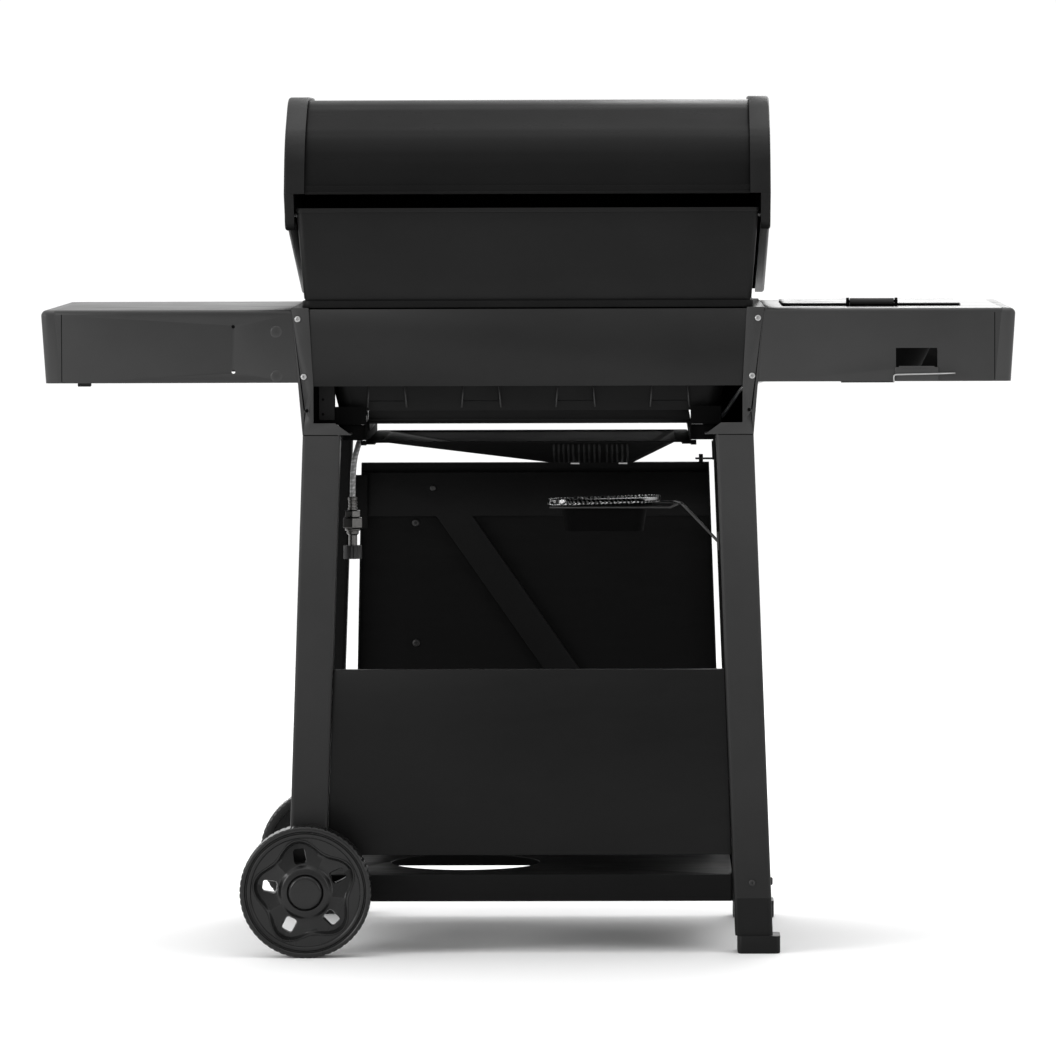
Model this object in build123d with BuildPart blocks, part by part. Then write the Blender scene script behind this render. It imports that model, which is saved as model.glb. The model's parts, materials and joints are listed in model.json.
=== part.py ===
"""A freestanding gas barbecue grill: four main burners, a side burner and a cart on two wheels and two feet.

Frame: millimetres, +Z up, the origin on the floor under the middle of the grill. The user stands on
the -Y side and looks along +Y, so +X is the user's right. Wheels are on the right, the side burner is
on the left. Every sub-part is written to parts/NAME.step.
"""

from build123d import *
import os
from math import hypot, pi, radians, tan

os.makedirs("parts", exist_ok=True)

# ---------------------------------------------------------------- driving dimensions
SHEET = 1.5  # sheet steel of the cart, console and shelves
RIGHT, LEFT, REAR, FRONT = 1, -1, 1, -1

# Cart
CART_TOP = 705.0
LEG_BOTTOM = 75.0
LEG_WIDTH, LEG_DEPTH, LEG_CORNER = 51.0, 42.0, 5.0
LEG_TOP_X, LEG_BOTTOM_X = 279.5, 302.7  # centre lines: the legs splay outward going down
LEG_Y = 211.0
LEG_REAR_FACE = LEG_Y + LEG_DEPTH / 2
SHELF_PAN_TOP = 107.0
TANK_HOLE_R, TANK_HOLE_XY = 103.0, (91.0, 60.0)

# Wheels
WHEEL_R, WHEEL_WIDTH, WHEEL_Y = 89.0, 44.0, 262.0
AXLE_R, AXLE_END = 5.0, 280.0
HUB_CAP_R = 23.0

# Console: the box that holds the firebox and the side shelves
CONSOLE_TOP = 877.0
CONSOLE_TOP_X, CONSOLE_BOTTOM_X = 319.5, 305.0  # outer faces of its leaning side panels
FASCIA_BOTTOM = 771.0
PANEL_BOTTOM = 766.0  # the control panel leans back: its top is nearer the firebox
PANEL_TOP_Y, PANEL_BOTTOM_Y = -238.0, -262.0
KNOB_Z = 824.0
BURNER_X = (-192.0, -64.0, 64.0, 192.0)

# Side shelves
SHELF_TOP, SHELF_BOTTOM = 875.0, 776.0
SHELF_FRONT, SHELF_REAR = -225.0, 232.0
SEAM_TOP_X, SEAM_BOTTOM_X = 640.0, 631.0
TIP_TOP_X, TIP_BOTTOM_X = 659.0, 652.5
SIDE_BURNER_X = -468.0

# Firebox and hood
TUB_TOP, TUB_BOTTOM = 877.0, 736.0
TUB_TOP_SIZE, TUB_BOTTOM_SIZE = (586.0, 410.0), (516.0, 360.0)
SHROUD_BOTTOM, SHROUD_TOP = 889.0, 1011.0
SHROUD_BOTTOM_X, SHROUD_TOP_X, SHROUD_REAR, SHROUD_FRONT = 302.5, 312.5, 222.0, -226.0
HOOD_PIVOT = (198.0, 1002.0)  # Y, Z
CAP_INNER_X, CAP_OUTER_X = 315.5, 328.5  # side plates of the hood's end caps
HOOD_PROFILE = [(-258, 890.5), (-226, 1063), (-110, 1156), (110, 1157), (212, 1098), (236, 1031)]
HOOD_BEND = 110.0
HANDLE_Z = 958.0

# Grease collection
RAIL_X, RAIL_BOTTOM = 219.5, 690.5
FUNNEL_BOTTOM = 659.0
FUNNEL_XY = (-84.0, 24.0)
CUP_XY, CUP_RIM = (-102.0, 24.0), 602.5

# Door
DOOR_TOP, DOOR_BOTTOM = 646.0, 112.0
DOOR_FRONT, DOOR_DEPTH = -230.0, 14.0
DOOR_PIVOT = (-238.0, -222.0)
DOOR_PIN_R = 3.0
DOOR_HANDLE_X, DOOR_HANDLE_Z = 167.0, (389.0, 560.0)

RUNNING = 0.06  # radial clearance of every pin in its bore


# ---------------------------------------------------------------- helpers
def save(part, name):
    """Writes one finished sub-part."""
    part.label = name
    export_step(part, f"parts/{name}.step")


def between(low, high, share):
    """The value at a share of the way from low to high."""
    return low + share * (high - low)


def leg_x(z):
    """Distance of a leg's centre line from the middle plane at height z."""
    return between(LEG_BOTTOM_X, LEG_TOP_X, (z - LEG_BOTTOM) / (CART_TOP - LEG_BOTTOM))


def between_legs(z, gap):
    """Half the free width between the legs at height z, less a gap."""
    return leg_x(z) - LEG_WIDTH / 2 - gap


def console_x(z):
    """Outer face of the console's side panel at height z."""
    return between(CONSOLE_BOTTOM_X, CONSOLE_TOP_X, (z - CART_TOP) / (CONSOLE_TOP - CART_TOP))


def shroud_x(z):
    """Outer face of the upper firebox wall at height z."""
    return between(SHROUD_BOTTOM_X, SHROUD_TOP_X, (z - SHROUD_BOTTOM) / (SHROUD_TOP - SHROUD_BOTTOM))


def tub_half(z, axis):
    """Outer half width (axis 0) or half depth (axis 1) of the firebox tub at height z."""
    share = (z - TUB_BOTTOM) / (TUB_TOP - TUB_BOTTOM)
    return between(TUB_BOTTOM_SIZE[axis], TUB_TOP_SIZE[axis], share) / 2


def panel_y(z):
    """Outer face of the control panel at height z."""
    return between(PANEL_BOTTOM_Y, PANEL_TOP_Y, (z - PANEL_BOTTOM) / (CONSOLE_TOP - PANEL_BOTTOM))


def outline(plane, points):
    """A closed polygon on a plane."""
    with BuildSketch(plane, mode=Mode.PRIVATE) as face:
        with BuildLine():
            Polyline(*points, close=True)
        make_face()
    return face.sketch


def disc(plane, radius):
    """A circle on a plane."""
    with BuildSketch(plane, mode=Mode.PRIVATE) as face:
        Circle(radius)
    return face.sketch


def xz_plate(points, y_low, y_high, mode=Mode.ADD):
    """A plate with an outline of (x, z) points, from y_low to y_high."""
    extrude(outline(Plane.XZ.offset(-y_high), points), amount=y_high - y_low, dir=(0, -1, 0), mode=mode)


def yz_plate(points, x_low, x_high, mode=Mode.ADD):
    """A plate with an outline of (y, z) points, from x_low to x_high."""
    extrude(outline(Plane.YZ.offset(x_low), points), amount=x_high - x_low, dir=(1, 0, 0), mode=mode)


def block(x, y, z, mode=Mode.ADD):
    """A box between the ends given for x, y and z."""
    with Locations((sum(x) / 2, sum(y) / 2, sum(z) / 2)):
        Box(abs(x[1] - x[0]), abs(y[1] - y[0]), abs(z[1] - z[0]), mode=mode)


def rod(start, end, radius, mode=Mode.ADD):
    """A round bar from start to end."""
    axis = Vector(*end) - Vector(*start)
    extrude(disc(Plane(origin=start, z_dir=axis), radius), amount=axis.length, dir=axis, mode=mode)


def wire(points, radius, bend):
    """A round bar bent along points."""
    with BuildLine(mode=Mode.PRIVATE) as route:
        FilletPolyline(*points, radius=bend)
    start = Plane(origin=route.line @ 0, z_dir=route.line % 0)
    sweep(disc(start, radius), path=route.line)


def screw(point, direction, radius=5.0):
    """A pan head that stands on point and looks along direction."""
    extrude(disc(Plane(origin=point, z_dir=direction), radius), amount=0.5 * radius, taper=14)


# ---------------------------------------------------------------- cart
def build_leg(side, end):
    """A splayed box-section leg. The wheel side's legs are bored for the axle."""
    with BuildPart() as leg:
        for inset, mode in ((0, Mode.ADD), (SHEET, Mode.SUBTRACT)):
            for z in (LEG_BOTTOM, CART_TOP):
                with BuildSketch(Plane.XY.offset(z)):
                    with Locations((side * leg_x(z), end * LEG_Y)):
                        RectangleRounded(LEG_WIDTH - 2 * inset, LEG_DEPTH - 2 * inset, LEG_CORNER - inset)
            loft(ruled=True, mode=mode)
        if side == RIGHT:
            axle_x = leg_x(WHEEL_R)
            rod((axle_x, end * 180, WHEEL_R), (axle_x, end * 240, WHEEL_R), AXLE_R, Mode.SUBTRACT)
    return leg


def build_foot(end):
    """A moulded foot: a plug inside the leg, a stem that carries its lines on, and a wider base."""
    plug_top, base_top = LEG_BOTTOM + 28, 24.0
    with BuildPart() as foot:
        for z, inset in ((LEG_BOTTOM, SHEET + 0.2), (plug_top, SHEET + 0.2)):
            with BuildSketch(Plane.XY.offset(z)):
                with Locations((-leg_x(z), end * LEG_Y)):
                    RectangleRounded(LEG_WIDTH - 2 * inset, LEG_DEPTH - 2 * inset, LEG_CORNER - inset)
        loft(ruled=True)
        for z in (base_top, LEG_BOTTOM):
            with BuildSketch(Plane.XY.offset(z)):
                with Locations((-leg_x(z), end * LEG_Y)):
                    RectangleRounded(LEG_WIDTH, LEG_DEPTH, LEG_CORNER)
        loft(ruled=True)
        with BuildSketch(Plane.XY):
            with Locations((-leg_x(0) - 5.5, end * (LEG_Y + 2))):
                RectangleRounded(58, LEG_DEPTH + 10, 7)
        extrude(amount=base_top)
        fillet(foot.edges().group_by(Axis.Z)[0], 2.5)
    return foot


for side, side_name in ((RIGHT, "right"), (LEFT, "left")):
    for end, end_name in ((REAR, "rear"), (FRONT, "front")):
        save(build_leg(side, end).part, f"leg_{end_name}_{side_name}")
for end, end_name in ((REAR, "rear"), (FRONT, "front")):
    save(build_foot(end).part, f"foot_{end_name}")

# Bottom shelf: a pan with its skirt down, and a round hole for the gas bottle's foot ring.
PAN_HALF_X, PAN_HALF_Y, PAN_SKIRT = 275.0, 229.0, 36.0
with BuildPart() as bottom_shelf:
    with BuildSketch(Plane.XY.offset(SHELF_PAN_TOP - PAN_SKIRT)):
        RectangleRounded(2 * PAN_HALF_X, 2 * PAN_HALF_Y, 4)
    extrude(amount=PAN_SKIRT)
    with BuildSketch(Plane.XY.offset(SHELF_PAN_TOP - PAN_SKIRT)):
        RectangleRounded(2 * (PAN_HALF_X - SHEET), 2 * (PAN_HALF_Y - SHEET), 2.5)
    extrude(amount=PAN_SKIRT - SHEET, mode=Mode.SUBTRACT)
    with Locations((*TANK_HOLE_XY, SHELF_PAN_TOP)):
        Cylinder(TANK_HOLE_R, 20, mode=Mode.SUBTRACT)
    # a pin hole for the door's lower pivot
    rod((*DOOR_PIVOT, SHELF_PAN_TOP - 10), (*DOOR_PIVOT, SHELF_PAN_TOP + 1), DOOR_PIN_R, Mode.SUBTRACT)
save(bottom_shelf.part, "bottom_shelf")


# Lower rear panel: a flanged sheet between the rear legs.
PANEL_LOW, PANEL_HIGH, PANEL_REAR = 134.0, 386.0, 226.0
with BuildPart() as rear_panel:
    low, high = between_legs(PANEL_LOW, 0.8), between_legs(PANEL_HIGH, 0.8)
    corners = [(-low, PANEL_LOW), (low, PANEL_LOW), (high, PANEL_HIGH), (-high, PANEL_HIGH)]
    xz_plate(corners, PANEL_REAR - 16, PANEL_REAR)
    xz_plate(
        [
            (-low + SHEET, PANEL_LOW + SHEET),
            (low - SHEET, PANEL_LOW + SHEET),
            (high - SHEET, PANEL_HIGH - SHEET),
            (-high + SHEET, PANEL_HIGH - SHEET),
        ],
        PANEL_REAR - 17,
        PANEL_REAR - SHEET,
        Mode.SUBTRACT,
    )
save(rear_panel.part, "rear_panel")

# Door catch: an angle on the front right leg with a magnet block that the door closes against.
CATCH_Z = (553.0, 629.0)
DOOR_REAR = DOOR_FRONT + DOOR_DEPTH
with BuildPart() as door_catch:
    wall_low, wall_high = between_legs(CATCH_Z[0], 0.3), between_legs(CATCH_Z[1], 0.3)
    plate = [(wall_low - 2, CATCH_Z[0]), (wall_low, CATCH_Z[0])]
    plate += [(wall_high, CATCH_Z[1]), (wall_high - 2, CATCH_Z[1])]
    xz_plate(plate, DOOR_REAR + 3, -192)
    stop = [(235, CATCH_Z[0]), (wall_low, CATCH_Z[0]), (wall_high, CATCH_Z[1]), (235, CATCH_Z[1])]
    xz_plate(stop, DOOR_REAR + 3, DOOR_REAR + 5)
    block((238, 250), (DOOR_REAR + 0.5, DOOR_REAR + 3), (575, 607))
save(door_catch.part, "door_catch")

# ---------------------------------------------------------------- axle and wheels
AXLE_X = leg_x(WHEEL_R)
with BuildPart() as axle:
    rod((AXLE_X, -AXLE_END, WHEEL_R), (AXLE_X, AXLE_END, WHEEL_R), AXLE_R)
    for end in (REAR, FRONT):
        # a washer between leg and wheel
        inner = end * (LEG_REAR_FACE + 0.3)
        rod((AXLE_X, inner, WHEEL_R), (AXLE_X, end * (WHEEL_Y - WHEEL_WIDTH / 2 - 0.4), WHEEL_R), 11)
save(axle.part, "axle")


def wheel_plane(end, offset=0.0):
    """A plane across a wheel whose normal points outward, with local Y up."""
    return Plane(origin=(AXLE_X, end * (WHEEL_Y + offset), WHEEL_R), x_dir=(-end, 0, 0), z_dir=(0, end, 0))


FIRST_WINDOW = 99.0  # degrees, of the five windows in a wheel
WEB_BACK, WEB_FRONT = 6.0, 12.0  # the wheel's web, from its middle plane outward
CAP_SEAT = WEB_FRONT + 2


def build_wheel(end):
    """A moulded wheel: ribbed tread, dished face with five petals and five windows, bored hub."""
    half = WHEEL_WIDTH / 2
    with BuildPart() as wheel:
        with BuildSketch(wheel_plane(end, -half)):
            Circle(WHEEL_R)
        extrude(amount=WHEEL_WIDTH)
        chamfer(wheel.edges(), 3)
        # hollow back
        with BuildSketch(wheel_plane(end, -half)):
            Circle(79)
            Circle(25, mode=Mode.SUBTRACT)
        extrude(amount=half + WEB_BACK, mode=Mode.SUBTRACT)
        # dished face, with five petals left standing at the rim
        with BuildSketch(wheel_plane(end, half)):
            Circle(76)
            with PolarLocations(88, 5, start_angle=FIRST_WINDOW + 36):
                Circle(30, mode=Mode.SUBTRACT)
        extrude(amount=-(half - WEB_FRONT), mode=Mode.SUBTRACT)
        # hub collar with a seat for the cap
        with BuildSketch(wheel_plane(end, WEB_FRONT)):
            Circle(33)
        extrude(amount=5, taper=35)
        with BuildSketch(wheel_plane(end, CAP_SEAT)):
            Circle(HUB_CAP_R + 0.3)
        extrude(amount=20, mode=Mode.SUBTRACT)
        with BuildSketch(wheel_plane(end, half)):
            with PolarLocations(49, 5, start_angle=FIRST_WINDOW):
                RectangleRounded(21, 16, 4)
        extrude(amount=-WHEEL_WIDTH, mode=Mode.SUBTRACT)
        with BuildSketch(wheel_plane(end, -half)):
            Circle(AXLE_R + RUNNING)
        extrude(amount=WHEEL_WIDTH, mode=Mode.SUBTRACT)
        # tread
        with BuildSketch(wheel_plane(end, -half)):
            with PolarLocations(WHEEL_R + 0.4, 60):
                Rectangle(2.8, 3.2)
        extrude(amount=WHEEL_WIDTH, mode=Mode.SUBTRACT)
    return wheel


def build_hub_cap(end):
    """A domed cap that hides the axle's end."""
    with BuildPart() as cap:
        with BuildSketch(wheel_plane(end, CAP_SEAT)):
            Circle(HUB_CAP_R)
        extrude(amount=11)
        outer = cap.faces().sort_by(Axis.Y)[-1 if end == REAR else 0]
        fillet(outer.edges(), 5)
        with BuildSketch(wheel_plane(end, CAP_SEAT)):
            Circle(AXLE_R + 1)
        extrude(amount=5, mode=Mode.SUBTRACT)
    return cap


for end, end_name in ((REAR, "rear"), (FRONT, "front")):
    save(build_wheel(end).part, f"wheel_{end_name}")
    save(build_hub_cap(end).part, f"hub_cap_{end_name}")

# ---------------------------------------------------------------- door
DOOR_LEFT = (-249.4, -268.0)  # top and bottom of the door's edges
DOOR_RIGHT = (243.2, 255.6)
CORNER_X, CORNER_Z = 205.0, 270.0  # the cut-off corner's ends on the bottom and right edges


def door_left(z):
    return between(DOOR_LEFT[1], DOOR_LEFT[0], (z - DOOR_BOTTOM) / (DOOR_TOP - DOOR_BOTTOM))


def door_right(z):
    return between(DOOR_RIGHT[1], DOOR_RIGHT[0], (z - DOOR_BOTTOM) / (DOOR_TOP - DOOR_BOTTOM))


def door_outline(inset, low=DOOR_BOTTOM, high=DOOR_TOP):
    """The door's outline between two heights, drawn in by inset. Its lower corner clears the front wheel."""
    low, high = low + inset, high - inset
    left = [(door_left(high) + inset, high), (door_left(low) + inset, low)]
    if low < CORNER_Z:
        right = [(CORNER_X - inset, low), (door_right(CORNER_Z) - inset, CORNER_Z)]
    else:
        right = [(door_right(low) - inset, low)]
    return left + right + [(door_right(high) - inset, high)]


BEAM_LOW, BEAM_HIGH, BRACE_DEPTH, BRACE_SHEET = 570.0, 632.0, 12.0, 1.2
STRUT = [(86, BEAM_LOW), (-219, 130), (-170, 130), (137, BEAM_LOW)]
STRUT_HOLLOW = [(88, BEAM_LOW), (-217, 130), (-172, 130), (135, BEAM_LOW)]
SKIN_BACK = DOOR_FRONT + SHEET

with BuildPart() as door_panel:
    xz_plate(door_outline(0), DOOR_FRONT, DOOR_REAR)
    xz_plate(door_outline(SHEET), SKIN_BACK, DOOR_REAR + 1, Mode.SUBTRACT)
    for low, high in ((DOOR_BOTTOM - 5, DOOR_BOTTOM + 5), (DOOR_TOP - 5, DOOR_TOP + 5)):
        rod((*DOOR_PIVOT, low), (*DOOR_PIVOT, high), DOOR_PIN_R + RUNNING, Mode.SUBTRACT)
save(door_panel.part, "door_panel")

with BuildPart() as door_brace:
    beam = door_outline(SHEET + 0.2, BEAM_LOW - 1.7, BEAM_HIGH + 1.7)
    xz_plate(beam, SKIN_BACK, SKIN_BACK + BRACE_DEPTH)
    xz_plate(STRUT, SKIN_BACK, SKIN_BACK + BRACE_DEPTH)
    hollow = door_outline(SHEET + 0.2, BEAM_LOW, BEAM_HIGH)
    xz_plate(hollow, SKIN_BACK - 1, SKIN_BACK + BRACE_DEPTH - BRACE_SHEET, Mode.SUBTRACT)
    xz_plate(STRUT_HOLLOW, SKIN_BACK - 1, SKIN_BACK + BRACE_DEPTH - BRACE_SHEET, Mode.SUBTRACT)
save(door_brace.part, "door_brace")

HANDLE_BAR_Y = DOOR_FRONT - 34
with BuildPart() as door_handle:
    low, high = DOOR_HANDLE_Z
    ends = [(DOOR_HANDLE_X, DOOR_FRONT, low), (DOOR_HANDLE_X, HANDLE_BAR_Y, low)]
    ends += [(DOOR_HANDLE_X, HANDLE_BAR_Y, high), (DOOR_HANDLE_X, DOOR_FRONT, high)]
    wire(ends, 6.0, 12.0)
save(door_handle.part, "door_handle")

# Hinge pins: the lower one stands in the bottom shelf, the upper one hangs from an angle on the leg.
UPPER_HINGE_Z = 650.0
with BuildPart() as door_hinges:
    rod((*DOOR_PIVOT, SHELF_PAN_TOP - 3), (*DOOR_PIVOT, DOOR_BOTTOM + 4), DOOR_PIN_R)
    rod((*DOOR_PIVOT, SHELF_PAN_TOP), (*DOOR_PIVOT, DOOR_BOTTOM - 0.4), 6)
    rod((*DOOR_PIVOT, DOOR_TOP - 4), (*DOOR_PIVOT, UPPER_HINGE_Z + 7), DOOR_PIN_R)
    wall_low, wall_high = between_legs(UPPER_HINGE_Z, 0), between_legs(UPPER_HINGE_Z + 2, 0)
    tongue = [(-wall_low, UPPER_HINGE_Z), (-230, UPPER_HINGE_Z)]
    tongue += [(-230, UPPER_HINGE_Z + 2), (-wall_high, UPPER_HINGE_Z + 2)]
    xz_plate(tongue, -230, -208)
    wall_top = between_legs(UPPER_HINGE_Z + 26, 0)
    flange = [(-wall_low, UPPER_HINGE_Z), (-wall_low + 2, UPPER_HINGE_Z)]
    flange += [(-wall_top + 2, UPPER_HINGE_Z + 26), (-wall_top, UPPER_HINGE_Z + 26)]
    xz_plate(flange, -230, -196)
save(door_hinges.part, "door_hinges")

# ---------------------------------------------------------------- console
SIDE_FRONT, SIDE_REAR = -262.0, 232.0
FLANGE_IN = 290.0  # inner edge of the side panels' upright flanges
FOOT_IN = 239.0
TUBE_PORT = (140.0, 776.0)  # Y, Z of the side burner's gas tube where it goes through the left panel


def build_console_side(side):
    """A leaning side panel with its edges turned inward: the bottom edge stands on the legs."""
    with BuildPart() as panel:
        low, high = console_x(CART_TOP), console_x(CONSOLE_TOP)
        skin = [(low, CART_TOP), (high, CONSOLE_TOP), (high - SHEET, CONSOLE_TOP), (low - SHEET, CART_TOP)]
        xz_plate(skin, SIDE_FRONT, SIDE_REAR)
        # the front edge follows the control panel's lean
        nose = [(-300, CART_TOP - 5), (-232, CART_TOP - 5), (-232, PANEL_BOTTOM)]
        nose += [(PANEL_BOTTOM_Y + SHEET, PANEL_BOTTOM), (PANEL_TOP_Y + SHEET, CONSOLE_TOP)]
        nose += [(PANEL_TOP_Y + SHEET, CONSOLE_TOP + 9), (-300, CONSOLE_TOP + 9)]
        yz_plate(nose, 200, 340, Mode.SUBTRACT)
        foot = [(FOOT_IN, CART_TOP), (low - 0.5, CART_TOP)]
        foot += [(low - 0.5, CART_TOP + SHEET), (FOOT_IN, CART_TOP + SHEET)]
        xz_plate(foot, -232, SIDE_REAR)
        flange = [(high - 18, CONSOLE_TOP - SHEET), (high - 1, CONSOLE_TOP - SHEET)]
        flange += [(high - 1, CONSOLE_TOP), (high - 18, CONSOLE_TOP)]
        xz_plate(flange, PANEL_TOP_Y + 4, SIDE_REAR)
        rear = [(FOOT_IN, CART_TOP), (low, CART_TOP), (high, CONSOLE_TOP), (FLANGE_IN + 6, CONSOLE_TOP)]
        rear += [(FLANGE_IN, FASCIA_BOTTOM), (FLANGE_IN, CART_TOP + 16), (FOOT_IN + 22, CART_TOP + 16)]
        xz_plate(rear, SIDE_REAR - SHEET, SIDE_REAR)
        front = [(FOOT_IN, CART_TOP), (low, CART_TOP), (console_x(PANEL_BOTTOM), PANEL_BOTTOM)]
        front += [(FLANGE_IN, PANEL_BOTTOM), (FLANGE_IN, CART_TOP + 16), (FOOT_IN + 22, CART_TOP + 16)]
        xz_plate(front, -232, -232 + SHEET)
        rod((299, SIDE_REAR - 5, 738), (299, SIDE_REAR + 5, 738), 2.5, Mode.SUBTRACT)
        if side == LEFT:
            rod((290, *TUBE_PORT), (340, *TUBE_PORT), 9, Mode.SUBTRACT)
    if side == LEFT:
        return mirror(panel.part, about=Plane.YZ)
    return panel.part


save(build_console_side(RIGHT), "console_side_right")
save(build_console_side(LEFT), "console_side_left")

FASCIA_REAR = SIDE_REAR - SHEET
with BuildPart() as rear_fascia:
    low, high = console_x(FASCIA_BOTTOM) - 4, console_x(CONSOLE_TOP) - 5
    top = CONSOLE_TOP - 2
    face = [(-low, FASCIA_BOTTOM), (low, FASCIA_BOTTOM), (high, top), (-high, top)]
    xz_plate(face, FASCIA_REAR - SHEET, FASCIA_REAR)
    block((-296, 296), (FASCIA_REAR - 18, FASCIA_REAR), (top - SHEET, top))
    block((-284, 284), (FASCIA_REAR - 18, FASCIA_REAR), (FASCIA_BOTTOM, FASCIA_BOTTOM + SHEET))
save(rear_fascia.part, "rear_fascia")

PANEL_NORMAL = Vector(0, -(CONSOLE_TOP - PANEL_BOTTOM), PANEL_TOP_Y - PANEL_BOTTOM_Y).normalized()
BEZEL_R, BEZEL_HEIGHT, STEM_R = 33.0, 2.0, 4.0


def knob_plane(x):
    """The plane on the control panel's face under the knob at x, its normal toward the user."""
    return Plane(origin=(x, panel_y(KNOB_Z), KNOB_Z), x_dir=(1, 0, 0), z_dir=PANEL_NORMAL)


with BuildPart() as control_panel:
    inner_bottom, inner_top = PANEL_BOTTOM_Y + SHEET, PANEL_TOP_Y + SHEET
    section = [(PANEL_BOTTOM_Y, PANEL_BOTTOM), (PANEL_TOP_Y, CONSOLE_TOP), (PANEL_TOP_Y + 9, CONSOLE_TOP)]
    section += [(PANEL_TOP_Y + 9, CONSOLE_TOP - SHEET), (inner_top + 0.2, CONSOLE_TOP - SHEET)]
    section += [(inner_bottom + 0.3, PANEL_BOTTOM + SHEET), (PANEL_BOTTOM_Y + 22, PANEL_BOTTOM + SHEET)]
    section += [(PANEL_BOTTOM_Y + 22, PANEL_BOTTOM)]
    yz_plate(section, -296, 296)
    face = [(PANEL_BOTTOM_Y, PANEL_BOTTOM), (PANEL_TOP_Y, CONSOLE_TOP)]
    face += [(inner_top, CONSOLE_TOP), (inner_bottom, PANEL_BOTTOM)]
    yz_plate(face, -320, 320)
    low, high = console_x(PANEL_BOTTOM) + 0.5, console_x(CONSOLE_TOP) + 0.5
    sides = [(-low, PANEL_BOTTOM), (low, PANEL_BOTTOM), (high, CONSOLE_TOP), (-high, CONSOLE_TOP)]
    xz_plate(sides, -300, -200, Mode.INTERSECT)
    for x in BURNER_X:
        extrude(disc(knob_plane(x), BEZEL_R), amount=BEZEL_HEIGHT, taper=10)
    for x in BURNER_X:
        start = knob_plane(x).origin
        rod(start - PANEL_NORMAL * 6, start + PANEL_NORMAL * 6, 6, Mode.SUBTRACT)
save(control_panel.part, "control_panel")


def build_knob(plane):
    """A control knob: a skirt, a grip with a pointer, and a blind bore for the valve's stem."""
    with BuildPart() as knob:
        extrude(disc(plane.offset(BEZEL_HEIGHT + 1), 25), amount=6, taper=8)
        extrude(disc(plane.offset(BEZEL_HEIGHT + 6), 20.5), amount=21, taper=4)
        fillet(knob.faces().sort_by(lambda face: face.center().dot(plane.z_dir))[-1].edges(), 2)
        with BuildSketch(plane.offset(BEZEL_HEIGHT + 9)):
            with Locations((-15, 0), (15, 0)):
                RectangleRounded(14, 50, 3)
        extrude(amount=25, mode=Mode.SUBTRACT)
        extrude(disc(plane.offset(BEZEL_HEIGHT), STEM_R + RUNNING), amount=16, mode=Mode.SUBTRACT)
    return knob.part


def valve(plane, depth):
    """A gas valve behind the plane, with the stem that the knob turns on."""
    extrude(disc(plane.offset(-4), 9), amount=-depth)
    extrude(disc(plane.offset(-6), STEM_R), amount=6 + BEZEL_HEIGHT + 14)


for number, x in enumerate(BURNER_X, start=1):
    save(build_knob(knob_plane(x)), f"knob_{number}")

MANIFOLD_Y, MANIFOLD_Z = -214.0, 806.0
BURNER_Z = 800.0
HOSE_START = (244.0, -219.0, 790.0)
with BuildPart() as gas_manifold:
    rod((-250, MANIFOLD_Y, MANIFOLD_Z), (244, MANIFOLD_Y, MANIFOLD_Z), 8)
    for x in BURNER_X:
        valve(knob_plane(x), 30)
        rod((x, MANIFOLD_Y, BURNER_Z), (x, -198, BURNER_Z), 3.5)
        rod((x, MANIFOLD_Y - 4, BURNER_Z + 12), (x, MANIFOLD_Y + 2, BURNER_Z - 2), 8)
    # end fitting with the hose's inlet pointing down
    block((234, 254), (-229, -204), (796, 816))
    rod((HOSE_START[0], HOSE_START[1], 796), HOSE_START, 6)
save(gas_manifold.part, "gas_manifold")

# ---------------------------------------------------------------- firebox
TUB_WALL = 2.0
TAMER_LEDGE, GRATE_LEDGE = 828.0, 866.0
SKIRT_X, SKIRT_Y = 218.0, 165.0
SKIRT_BOTTOM, SKIRT_OPEN = 708.0, 717.5  # its end walls go lower than its front and rear walls
RIM_TOP = 886.0
BURNER_R = 13.0
LEDGE_DEPTH = 14.0

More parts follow.
